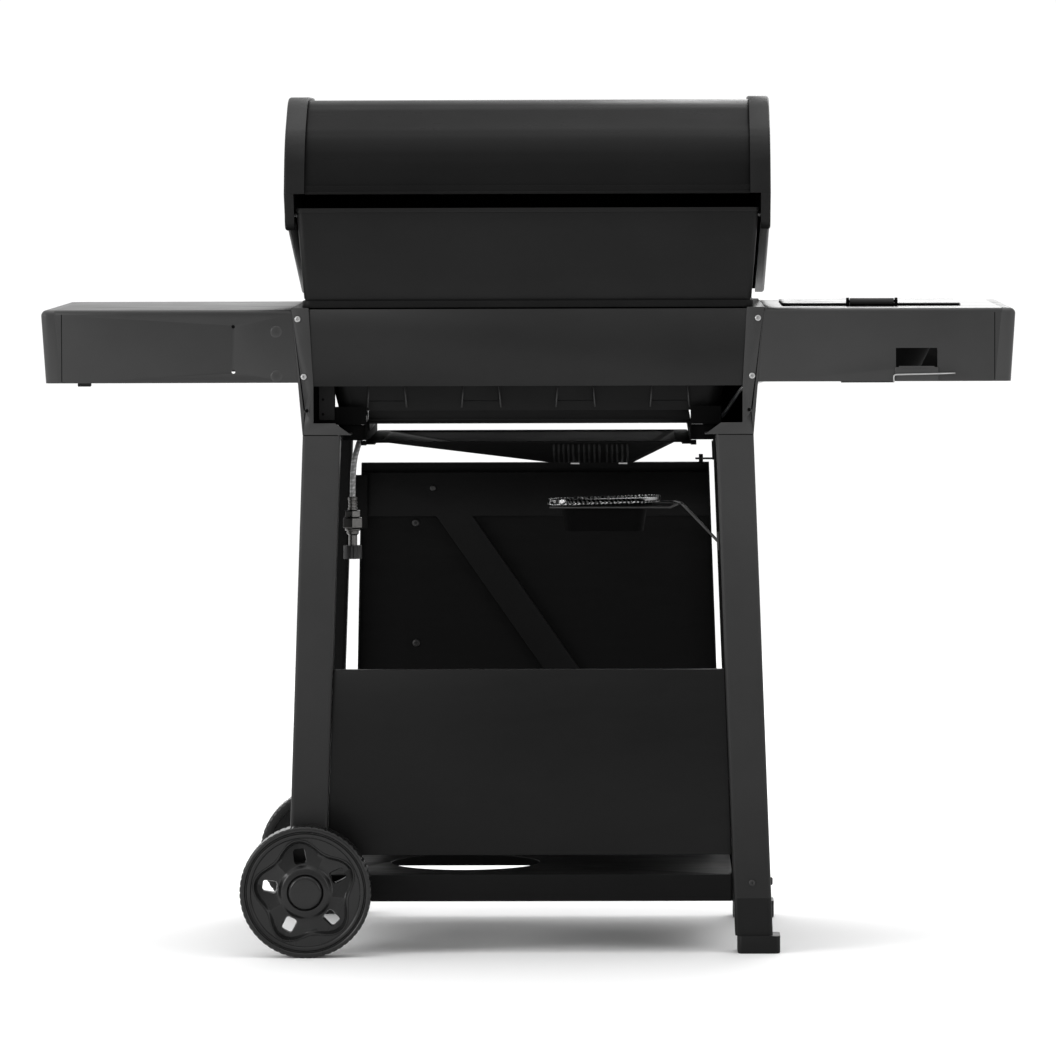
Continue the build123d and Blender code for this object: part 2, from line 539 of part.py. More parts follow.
with BuildPart() as firebox_tub:
    for inset, mode in ((0, Mode.ADD), (TUB_WALL, Mode.SUBTRACT)):
        for z, size in ((TUB_BOTTOM + inset, TUB_BOTTOM_SIZE), (TUB_TOP, TUB_TOP_SIZE)):
            with BuildSketch(Plane.XY.offset(z)):
                RectangleRounded(size[0] - 2 * inset, size[1] - 2 * inset, 22 - inset)
        loft(ruled=True, mode=mode)
    block((-200, 200), (-150, 150), (TUB_BOTTOM - 5, TUB_BOTTOM + 5), Mode.SUBTRACT)
    # chute under the floor
    with BuildSketch(Plane.XY.offset(SKIRT_OPEN)):
        Rectangle(2 * SKIRT_X, 2 * SKIRT_Y)
        Rectangle(2 * (SKIRT_X - SHEET), 2 * (SKIRT_Y - SHEET), mode=Mode.SUBTRACT)
    extrude(amount=TUB_BOTTOM + 1 - SKIRT_OPEN)
    for side in (RIGHT, LEFT):
        wall = (side * (SKIRT_X - SHEET), side * SKIRT_X)
        block(wall, (-SKIRT_Y, SKIRT_Y), (SKIRT_BOTTOM, SKIRT_OPEN + 3))
    with BuildSketch(Plane.XY.offset(722)):
        Rectangle(2 * SKIRT_X + 1, 2 * SKIRT_Y + 8)
        Rectangle(2 * (SKIRT_X - SHEET), 2 * (SKIRT_Y - SHEET), mode=Mode.SUBTRACT)
    extrude(amount=1.5)
    # rim that stands on the console
    with BuildSketch(Plane.XY.offset(TUB_TOP)):
        with Locations((0, -2)):
            RectangleRounded(610, 456, 12)
        Rectangle(TUB_TOP_SIZE[0] - 4, TUB_TOP_SIZE[1] - 4, mode=Mode.SUBTRACT)
    extrude(amount=RIM_TOP - TUB_TOP)
    # ledges for the flame tamers and the grates, front and rear
    for end in (REAR, FRONT):
        for z in (TAMER_LEDGE - 2, GRATE_LEDGE - 2):
            wall = tub_half(z, 1) - 1
            block((-262, 262), (end * (wall - LEDGE_DEPTH), end * wall), (z, z + 2))
        # lugs that stand on the console's foot flanges
        for side in (RIGHT, LEFT):
            block((side * 240, side * 258), (end * 152, end * 174), (CART_TOP + SHEET, TUB_BOTTOM + 3))
    # pressed panels on the rear wall
    for x in BURNER_X:
        low, high = tub_half(748, 1), tub_half(840, 1)
        yz_plate([(low - 1, 748), (low + 3, 750), (high + 3, 838), (high - 1, 840)], x - 25.5, x + 25.5)
    # ports for the burners in the front wall, and for the hood side's gas tube
    for x in BURNER_X:
        rod((x, -230, BURNER_Z), (x, -170, BURNER_Z), BURNER_R, Mode.SUBTRACT)
save(firebox_tub.part, "firebox_tub")

SHROUD_SHEET = 1.5
PIN_R = 3.5
with BuildPart() as firebox_upper:
    centre = (SHROUD_REAR + SHROUD_FRONT) / 2
    depth = SHROUD_REAR - SHROUD_FRONT
    for inset, mode in ((0, Mode.ADD), (SHROUD_SHEET, Mode.SUBTRACT)):
        for z in (SHROUD_BOTTOM, SHROUD_TOP):
            with BuildSketch(Plane.XY.offset(z)):
                with Locations((0, centre)):
                    RectangleRounded(2 * (shroud_x(z) - inset), depth - 2 * inset, 8 - inset)
        loft(ruled=True, mode=mode)
    with BuildSketch(Plane.XY.offset(RIM_TOP)):
        with Locations((0, centre)):
            RectangleRounded(2 * SHROUD_BOTTOM_X - 2.4, depth - 2.4, 6)
            Rectangle(2 * SHROUD_BOTTOM_X - 26, depth - 26, mode=Mode.SUBTRACT)
    extrude(amount=SHROUD_BOTTOM + 0.5 - RIM_TOP)
    # the side walls step down toward the front, and the front is open for the hood
    slope = [(-300, 909), (-210, 909), (150, SHROUD_TOP + 1), (150, SHROUD_TOP + 9), (-300, SHROUD_TOP + 9)]
    yz_plate(slope, -330, 330, Mode.SUBTRACT)
    for side in (RIGHT, LEFT):
        rod((side * 300, *HOOD_PIVOT), (side * 320, *HOOD_PIVOT), PIN_R, Mode.SUBTRACT)
save(firebox_upper.part, "firebox_upper")

with BuildPart() as burners:
    for x in BURNER_X:
        rod((x, -206, BURNER_Z), (x, 160, BURNER_Z), BURNER_R)
        rod((x, -207, BURNER_Z), (x, 158, BURNER_Z), BURNER_R - 1.2, Mode.SUBTRACT)
    # carry-over bar at the rear
    block((-267, 267), (140, 152), (BURNER_Z - BURNER_R - 3, BURNER_Z - BURNER_R + 0.5))
save(burners.part, "burners")

TAMER_HALF_Y = tub_half(TAMER_LEDGE, 1) - 4
with BuildPart() as flame_tamers:
    for x in BURNER_X:
        roof = [(x - 46, TAMER_LEDGE), (x, TAMER_LEDGE + 22), (x + 46, TAMER_LEDGE)]
        roof += [(x + 43.5, TAMER_LEDGE), (x, TAMER_LEDGE + 20.8), (x - 43.5, TAMER_LEDGE)]
        xz_plate(roof, -TAMER_HALF_Y, TAMER_HALF_Y)
save(flame_tamers.part, "flame_tamers")

GRATE_HALF_Y, GRATE_THICK, BAR, BAR_PITCH = 198.0, 12.0, 6.0, 18.4
with BuildPart() as cooking_grates:
    for middle in (-186, 0, 186):
        for step in range(-4, 5):
            x = middle + step * (BAR_PITCH + 2.2)
            bar_z = (GRATE_LEDGE, GRATE_LEDGE + GRATE_THICK)
            block((x - BAR / 2, x + BAR / 2), (-GRATE_HALF_Y, GRATE_HALF_Y), bar_z)
        for y in (-GRATE_HALF_Y + 4, -66, 66, GRATE_HALF_Y - 4):
            block((middle - 84, middle + 84), (y - 4, y + 4), (GRATE_LEDGE, GRATE_LEDGE + GRATE_THICK - 3))
save(cooking_grates.part, "cooking_grates")

RACK_Z, RACK_Y = 975.0, (84.0, 190.0)
with BuildPart() as warming_rack:
    for step in range(9):
        y = between(RACK_Y[0], RACK_Y[1], step / 8)
        rod((-298, y, RACK_Z), (298, y, RACK_Z), 2)
    for x in (-298, -100, 100, 298):
        rod((x, RACK_Y[0] - 4, RACK_Z - 3), (x, RACK_Y[1] + 4, RACK_Z - 3), 2.5)
    # legs down to the firebox rim
    for side in (RIGHT, LEFT):
        for y in (RACK_Y[0] + 10, RACK_Y[1] - 10):
            rod((side * 296.5, y, RACK_Z - 3), (side * 296.5, y, SHROUD_BOTTOM + 0.5), 2.5)
save(warming_rack.part, "warming_rack")

# ---------------------------------------------------------------- hood
HOOD_SHEET, CAP_RIM = 1.2, 5.0
SKIN_CLEARANCE = 0.8
LOBE_R = 16.0


def hood_ribbon(width):
    """The hood's rolled sheet in section, in the YZ plane."""
    with BuildSketch(Plane.YZ, mode=Mode.PRIVATE) as band:
        with BuildLine():
            FilletPolyline(*HOOD_PROFILE, radius=HOOD_BEND)
        trace(line_width=width)
    return band.sketch


def hood_side(margin):
    """The area of a hood end: the profile, closed by a straight lower edge and a lobe at the hinge."""
    with BuildSketch(Plane.YZ, mode=Mode.PRIVATE) as area:
        with BuildLine():
            FilletPolyline(*HOOD_PROFILE, radius=HOOD_BEND)
            Polyline(HOOD_PROFILE[-1], (HOOD_PIVOT[0] + LOBE_R, HOOD_PIVOT[1]), HOOD_PIVOT, HOOD_PROFILE[0])
        make_face()
        with Locations(HOOD_PIVOT):
            Circle(LOBE_R)
        offset(amount=margin, kind=Kind.ARC)
    return area.sketch


def place_yz(face, x):
    """A YZ sketch moved to a place along X."""
    return Pos(x, 0, 0) * face


with BuildPart() as hood_skin:
    extrude(place_yz(hood_ribbon(HOOD_SHEET), -CAP_INNER_X), amount=2 * CAP_INNER_X, dir=(1, 0, 0))
save(hood_skin.part, "hood_skin")

CAP_FACE = hood_side(CAP_RIM)
CAP_HOLLOW = hood_side(SKIN_CLEARANCE)
CAP_GRIP = 14.5  # how far a cap's rim reaches over the skin


def build_hood_cap(side):
    """A cast end of the hood: a side plate with a rim over the skin's edge, and the hinge lobe."""
    with BuildPart() as cap:
        inner_x = CAP_INNER_X - CAP_GRIP
        extrude(place_yz(CAP_FACE, inner_x), amount=CAP_OUTER_X - inner_x, dir=(1, 0, 0))
        fillet(cap.faces().sort_by(Axis.X)[-1].edges(), 4)
        extrude(place_yz(CAP_HOLLOW, inner_x), amount=CAP_GRIP, dir=(1, 0, 0), mode=Mode.SUBTRACT)
        (front_y, front_z), (rear_y, rear_z) = HOOD_PROFILE[0], HOOD_PROFILE[-1]
        under = [(front_y - 20, front_z), (front_y, front_z), (rear_y, rear_z), (rear_y + 20, rear_z)]
        under += [(rear_y + 20, front_z - 30), (front_y - 20, front_z - 30)]
        yz_plate(under, inner_x, CAP_INNER_X, Mode.SUBTRACT)
        rod((CAP_INNER_X - 5, *HOOD_PIVOT), (CAP_OUTER_X - 3, *HOOD_PIVOT), PIN_R + RUNNING, Mode.SUBTRACT)
    if side == LEFT:
        return mirror(cap.part, about=Plane.YZ)
    return cap.part


save(build_hood_cap(RIGHT), "hood_cap_right")
save(build_hood_cap(LEFT), "hood_cap_left")

with BuildPart() as hood_pins:
    for side in (RIGHT, LEFT):
        inside = shroud_x(HOOD_PIVOT[1]) - SHROUD_SHEET
        rod((side * (inside - 3), *HOOD_PIVOT), (side * (CAP_OUTER_X - 4), *HOOD_PIVOT), PIN_R)
        rod((side * (inside - 4), *HOOD_PIVOT), (side * (inside - 1.2), *HOOD_PIVOT), 6.5)
save(hood_pins.part, "hood_pins")

HANDLE_Y, HANDLE_R, HANDLE_HALF, POST_X = -289.0, 10.0, 235.0, 205.0


def hood_front_y(z):
    """Outer face of the hood's flat front at height z."""
    (low_y, low_z), (high_y, high_z) = HOOD_PROFILE[:2]
    lean = (high_y - low_y) / (high_z - low_z)
    return between(low_y, high_y, (z - low_z) / (high_z - low_z)) - hypot(1, lean) * HOOD_SHEET / 2


HOOD_RISE, HOOD_LEAN = HOOD_PROFILE[1][1] - HOOD_PROFILE[0][1], HOOD_PROFILE[1][0] - HOOD_PROFILE[0][0]
HOOD_NORMAL = Vector(0, -HOOD_RISE, HOOD_LEAN).normalized()
with BuildPart() as hood_handle:
    rod((-HANDLE_HALF, HANDLE_Y, HANDLE_Z), (HANDLE_HALF, HANDLE_Y, HANDLE_Z), HANDLE_R)
    fillet(hood_handle.edges().filter_by(GeomType.CIRCLE), 3)
save(hood_handle.part, "hood_handle")

with BuildPart() as handle_posts:
    for side in (RIGHT, LEFT):
        rod((side * POST_X, HANDLE_Y + 2, HANDLE_Z), (side * POST_X, hood_front_y(HANDLE_Z) - 2, HANDLE_Z), 7)
        seat = (side * POST_X, hood_front_y(HANDLE_Z), HANDLE_Z)
        base = Plane(origin=seat, x_dir=(1, 0, 0), z_dir=HOOD_NORMAL)
        extrude(disc(base, 14), amount=4, taper=10)
        rod((side * (POST_X - 10), HANDLE_Y, HANDLE_Z), (side * (POST_X + 10), HANDLE_Y, HANDLE_Z), 13)
    rod((-HANDLE_HALF, HANDLE_Y, HANDLE_Z), (HANDLE_HALF, HANDLE_Y, HANDLE_Z), HANDLE_R, Mode.SUBTRACT)
save(handle_posts.part, "handle_posts")

GAUGE_Z, GAUGE_R = 1012.0, 32.0
with BuildPart() as hood_gauge:
    dial = Plane(origin=(0, hood_front_y(GAUGE_Z), GAUGE_Z), x_dir=(1, 0, 0), z_dir=HOOD_NORMAL)
    extrude(disc(dial, GAUGE_R), amount=13, taper=6)
    with BuildSketch(dial.offset(13)):
        Circle(GAUGE_R - 5)
    extrude(amount=-3, mode=Mode.SUBTRACT)
save(hood_gauge.part, "hood_gauge")

# ---------------------------------------------------------------- side shelves
SHELF_BEND = 7.0
WALL = 1.5
HEM = 14.0
PAN_HALF, PAN_LIP = 112.0, 122.0
VALVE_Z = 826.0
WINDOW_X, WINDOW_Z = (-553.0, -497.0), (795.0, 821.0)


def build_shelf(side):
    """A side shelf: a folded sheet with aprons, and an inner end bolted to the console."""
    with BuildPart() as shelf:
        with BuildSketch(Plane.YZ.offset(305)):
            with Locations(((SHELF_FRONT + SHELF_REAR) / 2, (SHELF_TOP + SHELF_BOTTOM) / 2)):
                Rectangle(SHELF_REAR - SHELF_FRONT, SHELF_TOP - SHELF_BOTTOM)
            corners = vertices().group_by(Axis.Y)[-1]
            fillet(corners, SHELF_BEND)
        extrude(amount=350)
        with BuildSketch(Plane.YZ.offset(305)):
            with Locations(((SHELF_FRONT + SHELF_REAR) / 2, (SHELF_TOP + SHELF_BOTTOM) / 2)):
                Rectangle(SHELF_REAR - SHELF_FRONT - 2 * WALL, SHELF_TOP - SHELF_BOTTOM - 2 * WALL)
            corners = vertices().group_by(Axis.Y)[-1]
            fillet(corners, SHELF_BEND - WALL)
        extrude(amount=350, mode=Mode.SUBTRACT)
        open_y, open_z = (SHELF_FRONT + HEM, SHELF_REAR - HEM), (SHELF_BOTTOM - 1, SHELF_BOTTOM + 5)
        block((300, 660), open_y, open_z, Mode.SUBTRACT)
        ends = [(console_x(SHELF_BOTTOM), SHELF_BOTTOM), (SEAM_BOTTOM_X, SHELF_BOTTOM)]
        ends += [(SEAM_TOP_X, SHELF_TOP), (console_x(SHELF_TOP), SHELF_TOP)]
        xz_plate(ends, SHELF_FRONT - 1, SHELF_REAR + 1, Mode.INTERSECT)
        low, high = SHELF_BOTTOM + WALL, SHELF_TOP - WALL
        inner = [(console_x(low), low), (console_x(low) + WALL, low)]
        inner += [(console_x(high) + WALL, high), (console_x(high), high)]
        xz_plate(inner, SHELF_FRONT + 4, SHELF_REAR - 4)
        if side == RIGHT:
            for z in (852, 791):
                rod((398, SHELF_REAR - 5, z), (398, SHELF_REAR + 5, z), 2.5, Mode.SUBTRACT)
        else:
            middle = -SIDE_BURNER_X
            cut_x = (middle - PAN_HALF, middle + PAN_HALF)
            block(cut_x, (-PAN_HALF, PAN_HALF), (SHELF_TOP - 9, SHELF_TOP + 9), Mode.SUBTRACT)
            rod((middle, SHELF_FRONT - 5, VALVE_Z), (middle, SHELF_FRONT + 5, VALVE_Z), 6, Mode.SUBTRACT)
            block((-WINDOW_X[1], -WINDOW_X[0]), (SHELF_REAR - 5, SHELF_REAR + 5), WINDOW_Z, Mode.SUBTRACT)
            rod((300, *TUBE_PORT), (340, *TUBE_PORT), 9, Mode.SUBTRACT)
    if side == LEFT:
        return mirror(shelf.part, about=Plane.YZ)
    return shelf.part


def build_shelf_cap(side):
    """The moulded tip of a shelf: a hollow end with rounded corners."""
    with BuildPart() as cap:
        ends = [(SEAM_BOTTOM_X, SHELF_BOTTOM), (TIP_BOTTOM_X, SHELF_BOTTOM)]
        ends += [(TIP_TOP_X, SHELF_TOP), (SEAM_TOP_X, SHELF_TOP)]
        xz_plate(ends, SHELF_FRONT, SHELF_REAR)
        tip = cap.faces().sort_by(Axis.X)[-1]
        fillet(tip.edges().filter_by(Axis.Y, reverse=True), 9)
        long_edges = cap.edges().filter_by(Axis.Y).group_by(Axis.Z)[-1]
        fillet(long_edges.sort_by(Axis.X)[-1], 8)
        hollow = [(SEAM_BOTTOM_X + 3, SHELF_BOTTOM - 1), (TIP_BOTTOM_X - 5, SHELF_BOTTOM - 1)]
        hollow += [(TIP_TOP_X - 6, SHELF_TOP - 8), (SEAM_TOP_X + 3, SHELF_TOP - 8)]
        xz_plate(hollow, SHELF_FRONT + 10, SHELF_REAR - 10, Mode.SUBTRACT)
    if side == LEFT:
        return mirror(cap.part, about=Plane.YZ)
    return cap.part


for side, side_name in ((RIGHT, "right"), (LEFT, "left")):
    save(build_shelf(side), f"shelf_{side_name}")
    save(build_shelf_cap(side), f"shelf_cap_{side_name}")

# ---------------------------------------------------------------- side burner
PAN_BOTTOM, PAN_FLANGE = 772.0, 1.2
PAN_FLOOR_HALF = 62.0
LID_HINGE_Y, LID_HINGE_Z, LID_PIN_R = 130.0, 881.5, 2.0
KNUCKLE_HALF = 30.0
FLAT_TOP = SHELF_TOP + PAN_FLANGE

with BuildPart() as side_burner_pan:
    for inset, mode in ((0, Mode.ADD), (1.2, Mode.SUBTRACT)):
        for z, half, corner in ((PAN_BOTTOM + inset, PAN_FLOOR_HALF, 34), (SHELF_TOP, PAN_HALF - 1, 20)):
            with BuildSketch(Plane.XY.offset(z)):
                with Locations((SIDE_BURNER_X, 0)):
                    RectangleRounded(2 * (half - inset), 2 * (half - inset), corner)
        loft(ruled=True, mode=mode)
    with BuildSketch(Plane.XY.offset(SHELF_TOP)):
        with Locations((SIDE_BURNER_X, 0)):
            RectangleRounded(2 * PAN_LIP, 2 * PAN_LIP, 14)
            RectangleRounded(2 * (PAN_HALF - 2.2), 2 * (PAN_HALF - 2.2), 19, mode=Mode.SUBTRACT)
    extrude(amount=PAN_FLANGE)
    # ears that carry the lid's hinge pin
    for side in (RIGHT, LEFT):
        ear = SIDE_BURNER_X + side * (KNUCKLE_HALF + 3)
        block((ear - 2, ear + 2), (LID_HINGE_Y - 10, LID_HINGE_Y + 5), (SHELF_TOP, LID_HINGE_Z))
        rod((ear - 2, LID_HINGE_Y, LID_HINGE_Z), (ear + 2, LID_HINGE_Y, LID_HINGE_Z), 5)
    pin = SIDE_BURNER_X + KNUCKLE_HALF + 3
    rod((2 * SIDE_BURNER_X - pin, LID_HINGE_Y, LID_HINGE_Z), (pin, LID_HINGE_Y, LID_HINGE_Z), LID_PIN_R)
    rod((SIDE_BURNER_X, -130, VALVE_Z), (SIDE_BURNER_X, -60, VALVE_Z), 9, Mode.SUBTRACT)
save(side_burner_pan.part, "side_burner_pan")

with BuildPart() as side_burner_lid:
    with BuildSketch(Plane.XY.offset(FLAT_TOP + 0.5)):
        with Locations((SIDE_BURNER_X, 0)):
            RectangleRounded(2 * PAN_LIP, 2 * PAN_LIP - 6, 12)
    extrude(amount=3)
    fillet(side_burner_lid.faces().sort_by(Axis.Z)[-1].edges(), 1.5)
    low, high = SIDE_BURNER_X - KNUCKLE_HALF, SIDE_BURNER_X + KNUCKLE_HALF
    block((low, high), (110, LID_HINGE_Y), (FLAT_TOP + 1, FLAT_TOP + 4.6))
    rod((low, LID_HINGE_Y, LID_HINGE_Z), (high, LID_HINGE_Y, LID_HINGE_Z), 4.5)
    pin_ends = (low - 1, LID_HINGE_Y, LID_HINGE_Z), (high + 1, LID_HINGE_Y, LID_HINGE_Z)
    rod(*pin_ends, LID_PIN_R + RUNNING, Mode.SUBTRACT)
    # finger lip at the front
    lip_x = (SIDE_BURNER_X - 35, SIDE_BURNER_X + 35)
    block(lip_x, (-PAN_LIP - 3, -PAN_LIP + 8), (FLAT_TOP + 0.5, FLAT_TOP + 3))
save(side_burner_lid.part, "side_burner_lid")

with BuildPart() as side_burner_head:
    rod((SIDE_BURNER_X, -185, VALVE_Z), (SIDE_BURNER_X, 0, VALVE_Z), 9)
    rod((SIDE_BURNER_X, 0, PAN_BOTTOM + 1.2), (SIDE_BURNER_X, 0, VALVE_Z + 20), 12)
    rod((SIDE_BURNER_X, 0, VALVE_Z + 18), (SIDE_BURNER_X, 0, VALVE_Z + 28), 38)
    rod((SIDE_BURNER_X, 0, VALVE_Z + 28), (SIDE_BURNER_X, 0, VALVE_Z + 31), 30)
    rod((SIDE_BURNER_X, -186, VALVE_Z), (SIDE_BURNER_X, -20, VALVE_Z), 7.5, Mode.SUBTRACT)
save(side_burner_head.part, "side_burner_head")

with BuildPart() as side_burner_grate:
    top, under = SHELF_TOP - 3, SHELF_TOP - 9
    for step in range(-3, 4):
        offset_x = step * 24
        block((SIDE_BURNER_X + offset_x - 3, SIDE_BURNER_X + offset_x + 3), (-100, 100), (under, top))
    for y in (-80, 0, 80):
        block((SIDE_BURNER_X - 105, SIDE_BURNER_X + 105), (y - 3, y + 3), (under, top - 1))
save(side_burner_grate.part, "side_burner_grate")

SIDE_VALVE_PLANE = Plane(origin=(SIDE_BURNER_X, SHELF_FRONT, VALVE_Z), x_dir=(1, 0, 0), z_dir=(0, -1, 0))
with BuildPart() as side_gas_tube:
    route = [(-250, MANIFOLD_Y, MANIFOLD_Z), (-264, MANIFOLD_Y, MANIFOLD_Z), (-272, -205, 730)]
    route += [(-266, -100, 722), (-264, 110, 724), (-290, 140, 764)]
    route += [(-345, TUBE_PORT[0], 784), (-372, -100, 800)]
    route += [(SIDE_BURNER_X + 30, -190, 812)]
    route += [(SIDE_BURNER_X, SHELF_FRONT + 18, VALVE_Z - 6)]
    wire(route, 2.6, 6)
    valve(SIDE_VALVE_PLANE, 20)
    rod((SIDE_BURNER_X, SHELF_FRONT + 20, VALVE_Z), (SIDE_BURNER_X, -180, VALVE_Z), 3.5)
save(side_gas_tube.part, "side_gas_tube")
save(build_knob(SIDE_VALVE_PLANE.offset(-BEZEL_HEIGHT)), "knob_side")

# ---------------------------------------------------------------- grease collection
RAIL_HALF_Y = 195.0
with BuildPart() as tray_rails:
    for side in (RIGHT, LEFT):
        low, high = side * (SKIRT_X + 1.5), side * (SKIRT_X + 3)
        block((side * SKIRT_X, high), (-SKIRT_Y, SKIRT_Y), (SKIRT_BOTTOM + 4, SKIRT_BOTTOM + 12))
        block((low, high), (-RAIL_HALF_Y, RAIL_HALF_Y), (RAIL_BOTTOM, SKIRT_BOTTOM + 12))
        block((side * 208, high), (-RAIL_HALF_Y, RAIL_HALF_Y), (RAIL_BOTTOM, RAIL_BOTTOM + SHEET))
save(tray_rails.part, "tray_rails")

TRAY_HALF = (218.3, 188.0)
TRAY_BOTTOM = RAIL_BOTTOM + SHEET + 0.4
TRAY_RIM = 18.0
with BuildPart() as grease_tray:
    levels = ((TRAY_BOTTOM, (0, 0), (2 * (TRAY_HALF[0] - TRAY_RIM), 2 * (TRAY_HALF[1] - TRAY_RIM))),)
    levels += ((FUNNEL_BOTTOM, FUNNEL_XY, (118, 70)),)
    for inset, mode in ((0, Mode.ADD), (1.2, Mode.SUBTRACT)):
        for z, (x, y), (width, depth) in levels:
            with BuildSketch(Plane.XY.offset(z if inset == 0 or z == TRAY_BOTTOM else z + inset)):
                with Locations((x, y)):
                    RectangleRounded(width - 2 * inset, depth - 2 * inset, 10)
        loft(ruled=True, mode=mode)
    with BuildSketch(Plane.XY.offset(TRAY_BOTTOM)):
        RectangleRounded(2 * TRAY_HALF[0], 2 * TRAY_HALF[1], 6)
        mouth = [2 * (half - TRAY_RIM - 1.2) for half in TRAY_HALF]
        RectangleRounded(*mouth, 10, mode=Mode.SUBTRACT)
    extrude(amount=1.2)
    rod((*FUNNEL_XY, FUNNEL_BOTTOM - 5), (*FUNNEL_XY, FUNNEL_BOTTOM + 5), 12, Mode.SUBTRACT)
save(grease_tray.part, "grease_tray")

CUP_TOP_HALF, CUP_FLOOR_HALF, CUP_FLOOR = 59.5, 54.0, 565.0
FORK_R = 2.0
FORK_Z = CUP_RIM - 1.5 - 0.4 - FORK_R
FORK_Y = (CUP_XY[1] - 63.5, CUP_XY[1] + 63.5)
with BuildPart() as grease_cup:
    for inset, mode in ((0, Mode.ADD), (1.5, Mode.SUBTRACT)):
        for z, half in ((CUP_FLOOR + inset, CUP_FLOOR_HALF), (CUP_RIM, CUP_TOP_HALF)):
            with BuildSketch(Plane.XY.offset(z)):
                with Locations(CUP_XY):
                    RectangleRounded(2 * (half - inset), 2 * (half - inset), 12)
        loft(ruled=True, mode=mode)
    with BuildSketch(Plane.XY.offset(CUP_RIM - 1.5)):
        with Locations(CUP_XY):
            RectangleRounded(2 * CUP_TOP_HALF + 16, 2 * CUP_TOP_HALF + 16, 14)
            RectangleRounded(2 * CUP_TOP_HALF - 3, 2 * CUP_TOP_HALF - 3, 11, mode=Mode.SUBTRACT)
    extrude(amount=1.5)
save(grease_cup.part, "grease_cup")

LINER_RIM_HALF = 78.0
HANGER_Z = 559.0  # where the cup's wire fork is fixed to the rear left leg
with BuildPart() as foil_liner:
    for inset, mode in ((2.2, Mode.ADD), (2.8, Mode.SUBTRACT)):
        for z, half in ((CUP_FLOOR + inset, CUP_FLOOR_HALF), (CUP_RIM, CUP_TOP_HALF)):
            with BuildSketch(Plane.XY.offset(z)):
                with Locations(CUP_XY):
                    RectangleRounded(2 * (half - inset), 2 * (half - inset), 11)
        loft(ruled=True, mode=mode)
    with BuildSketch(Plane.XY.offset(CUP_RIM)):
        with Locations(CUP_XY):
            RectangleRounded(2 * LINER_RIM_HALF, 2 * LINER_RIM_HALF, 16)
            RectangleRounded(2 * CUP_TOP_HALF - 5.6, 2 * CUP_TOP_HALF - 5.6, 11, mode=Mode.SUBTRACT)
    extrude(amount=0.8)
    with BuildSketch(Plane.XY.offset(CUP_RIM)):
        with Locations(CUP_XY):
            RectangleRounded(2 * LINER_RIM_HALF, 2 * LINER_RIM_HALF, 16)
            RectangleRounded(2 * LINER_RIM_HALF - 5, 2 * LINER_RIM_HALF - 5, 14, mode=Mode.SUBTRACT)
    extrude(amount=4.5)
save(foil_liner.part, "foil_liner")

with BuildPart() as cup_hanger:
    leg_face = between_legs(HANGER_Z, 0)
    free_end = CUP_XY[0] + 75
    fork = [(free_end, FORK_Y[0], FORK_Z), (-200, FORK_Y[0], FORK_Z)]
    fork += [(-208, 196, FORK_Z + 11), (-leg_face + 3, 208, HANGER_Z)]
    wire(fork, FORK_R, 8)
    wire([(free_end, FORK_Y[1], FORK_Z), (-192, FORK_Y[1], FORK_Z), (-203, FORK_Y[1], FORK_Z + 5)], FORK_R, 3)
    low, high = between_legs(HANGER_Z - 12, 0), between_legs(HANGER_Z + 12, 0)
    pad = [(-low, HANGER_Z - 12), (-low + 4, HANGER_Z - 12)]
    pad += [(-high + 4, HANGER_Z + 12), (-high, HANGER_Z + 12)]
    xz_plate(pad, 200, 216)
save(cup_hanger.part, "cup_hanger")

# ---------------------------------------------------------------- gas hose and regulator
HOSE_R = 3.8
HOSE_ROUTE = [
    HOSE_START,
    (244, -219, 752),
    (233, -190, 712),
    (230, -130, 706),
    (231, -70, 700),
    (229, -10, 699),
    (230, 50, 702),
    (229, 105, 703),
    (231, 150, 694),
    (240, 170, 662),
    (240, 170, 618),
]


def arc_hose(points, radius):
    """A tube along straight runs joined by the largest tangent arcs that both runs allow."""
    with BuildLine(mode=Mode.PRIVATE) as route:
        start = Vector(*points[0])
        for before, corner, after in zip(points, points[1:], points[2:]):
            corner = Vector(*corner)
            back = Vector(*before) - corner
            ahead = Vector(*after) - corner
            reach = 0.45 * min(back.length, ahead.length)
            enter = corner + back.normalized() * reach
            leave = corner + ahead.normalized() * reach
            Line(start, enter)
            TangentArc(enter, leave, tangent=-back)
            turn = pi - radians(back.get_angle(ahead))
            print("arc radius", round(reach / tan(turn / 2), 1))
            start = leave
        Line(start, Vector(*points[-1]))
    plane = Plane(origin=route.line @ 0, z_dir=route.line % 0)
    sweep(disc(plane, radius), path=route.line)
    length = sum(edge.length for edge in route.edges())
    print("hose length", round(length, 1), "volume", round(pi * radius**2 * length))


with BuildPart() as gas_hose:
    arc_hose(HOSE_ROUTE, HOSE_R)
print("hose solid volume", round(gas_hose.part.volume))
save(gas_hose.part, "gas_hose")

REGULATOR_X, REGULATOR_Y = HOSE_ROUTE[-1][:2]
NUT_TOP, NUT_SEAT, NUT_BOTTOM = 552.0, 546.0, 534.0
INLET_R, THREAD_R = 8.0, 9.0
with BuildPart() as regulator:
    rod((REGULATOR_X, REGULATOR_Y, 618), (REGULATOR_X, REGULATOR_Y, 600), 6.5)
    rod((REGULATOR_X, REGULATOR_Y, 600), (REGULATOR_X, REGULATOR_Y, 572), 11)
    with BuildSketch(Plane.XY.offset(576)):
        with Locations((REGULATOR_X, REGULATOR_Y)):
            RegularPolygon(15, 6)
    extrude(amount=14)
    rod((REGULATOR_X, REGULATOR_Y, 572), (REGULATOR_X, REGULATOR_Y, NUT_TOP - 3), 6)
    rod((REGULATOR_X, REGULATOR_Y, NUT_TOP - 3), (REGULATOR_X, REGULATOR_Y, NUT_SEAT + 0.5), INLET_R)
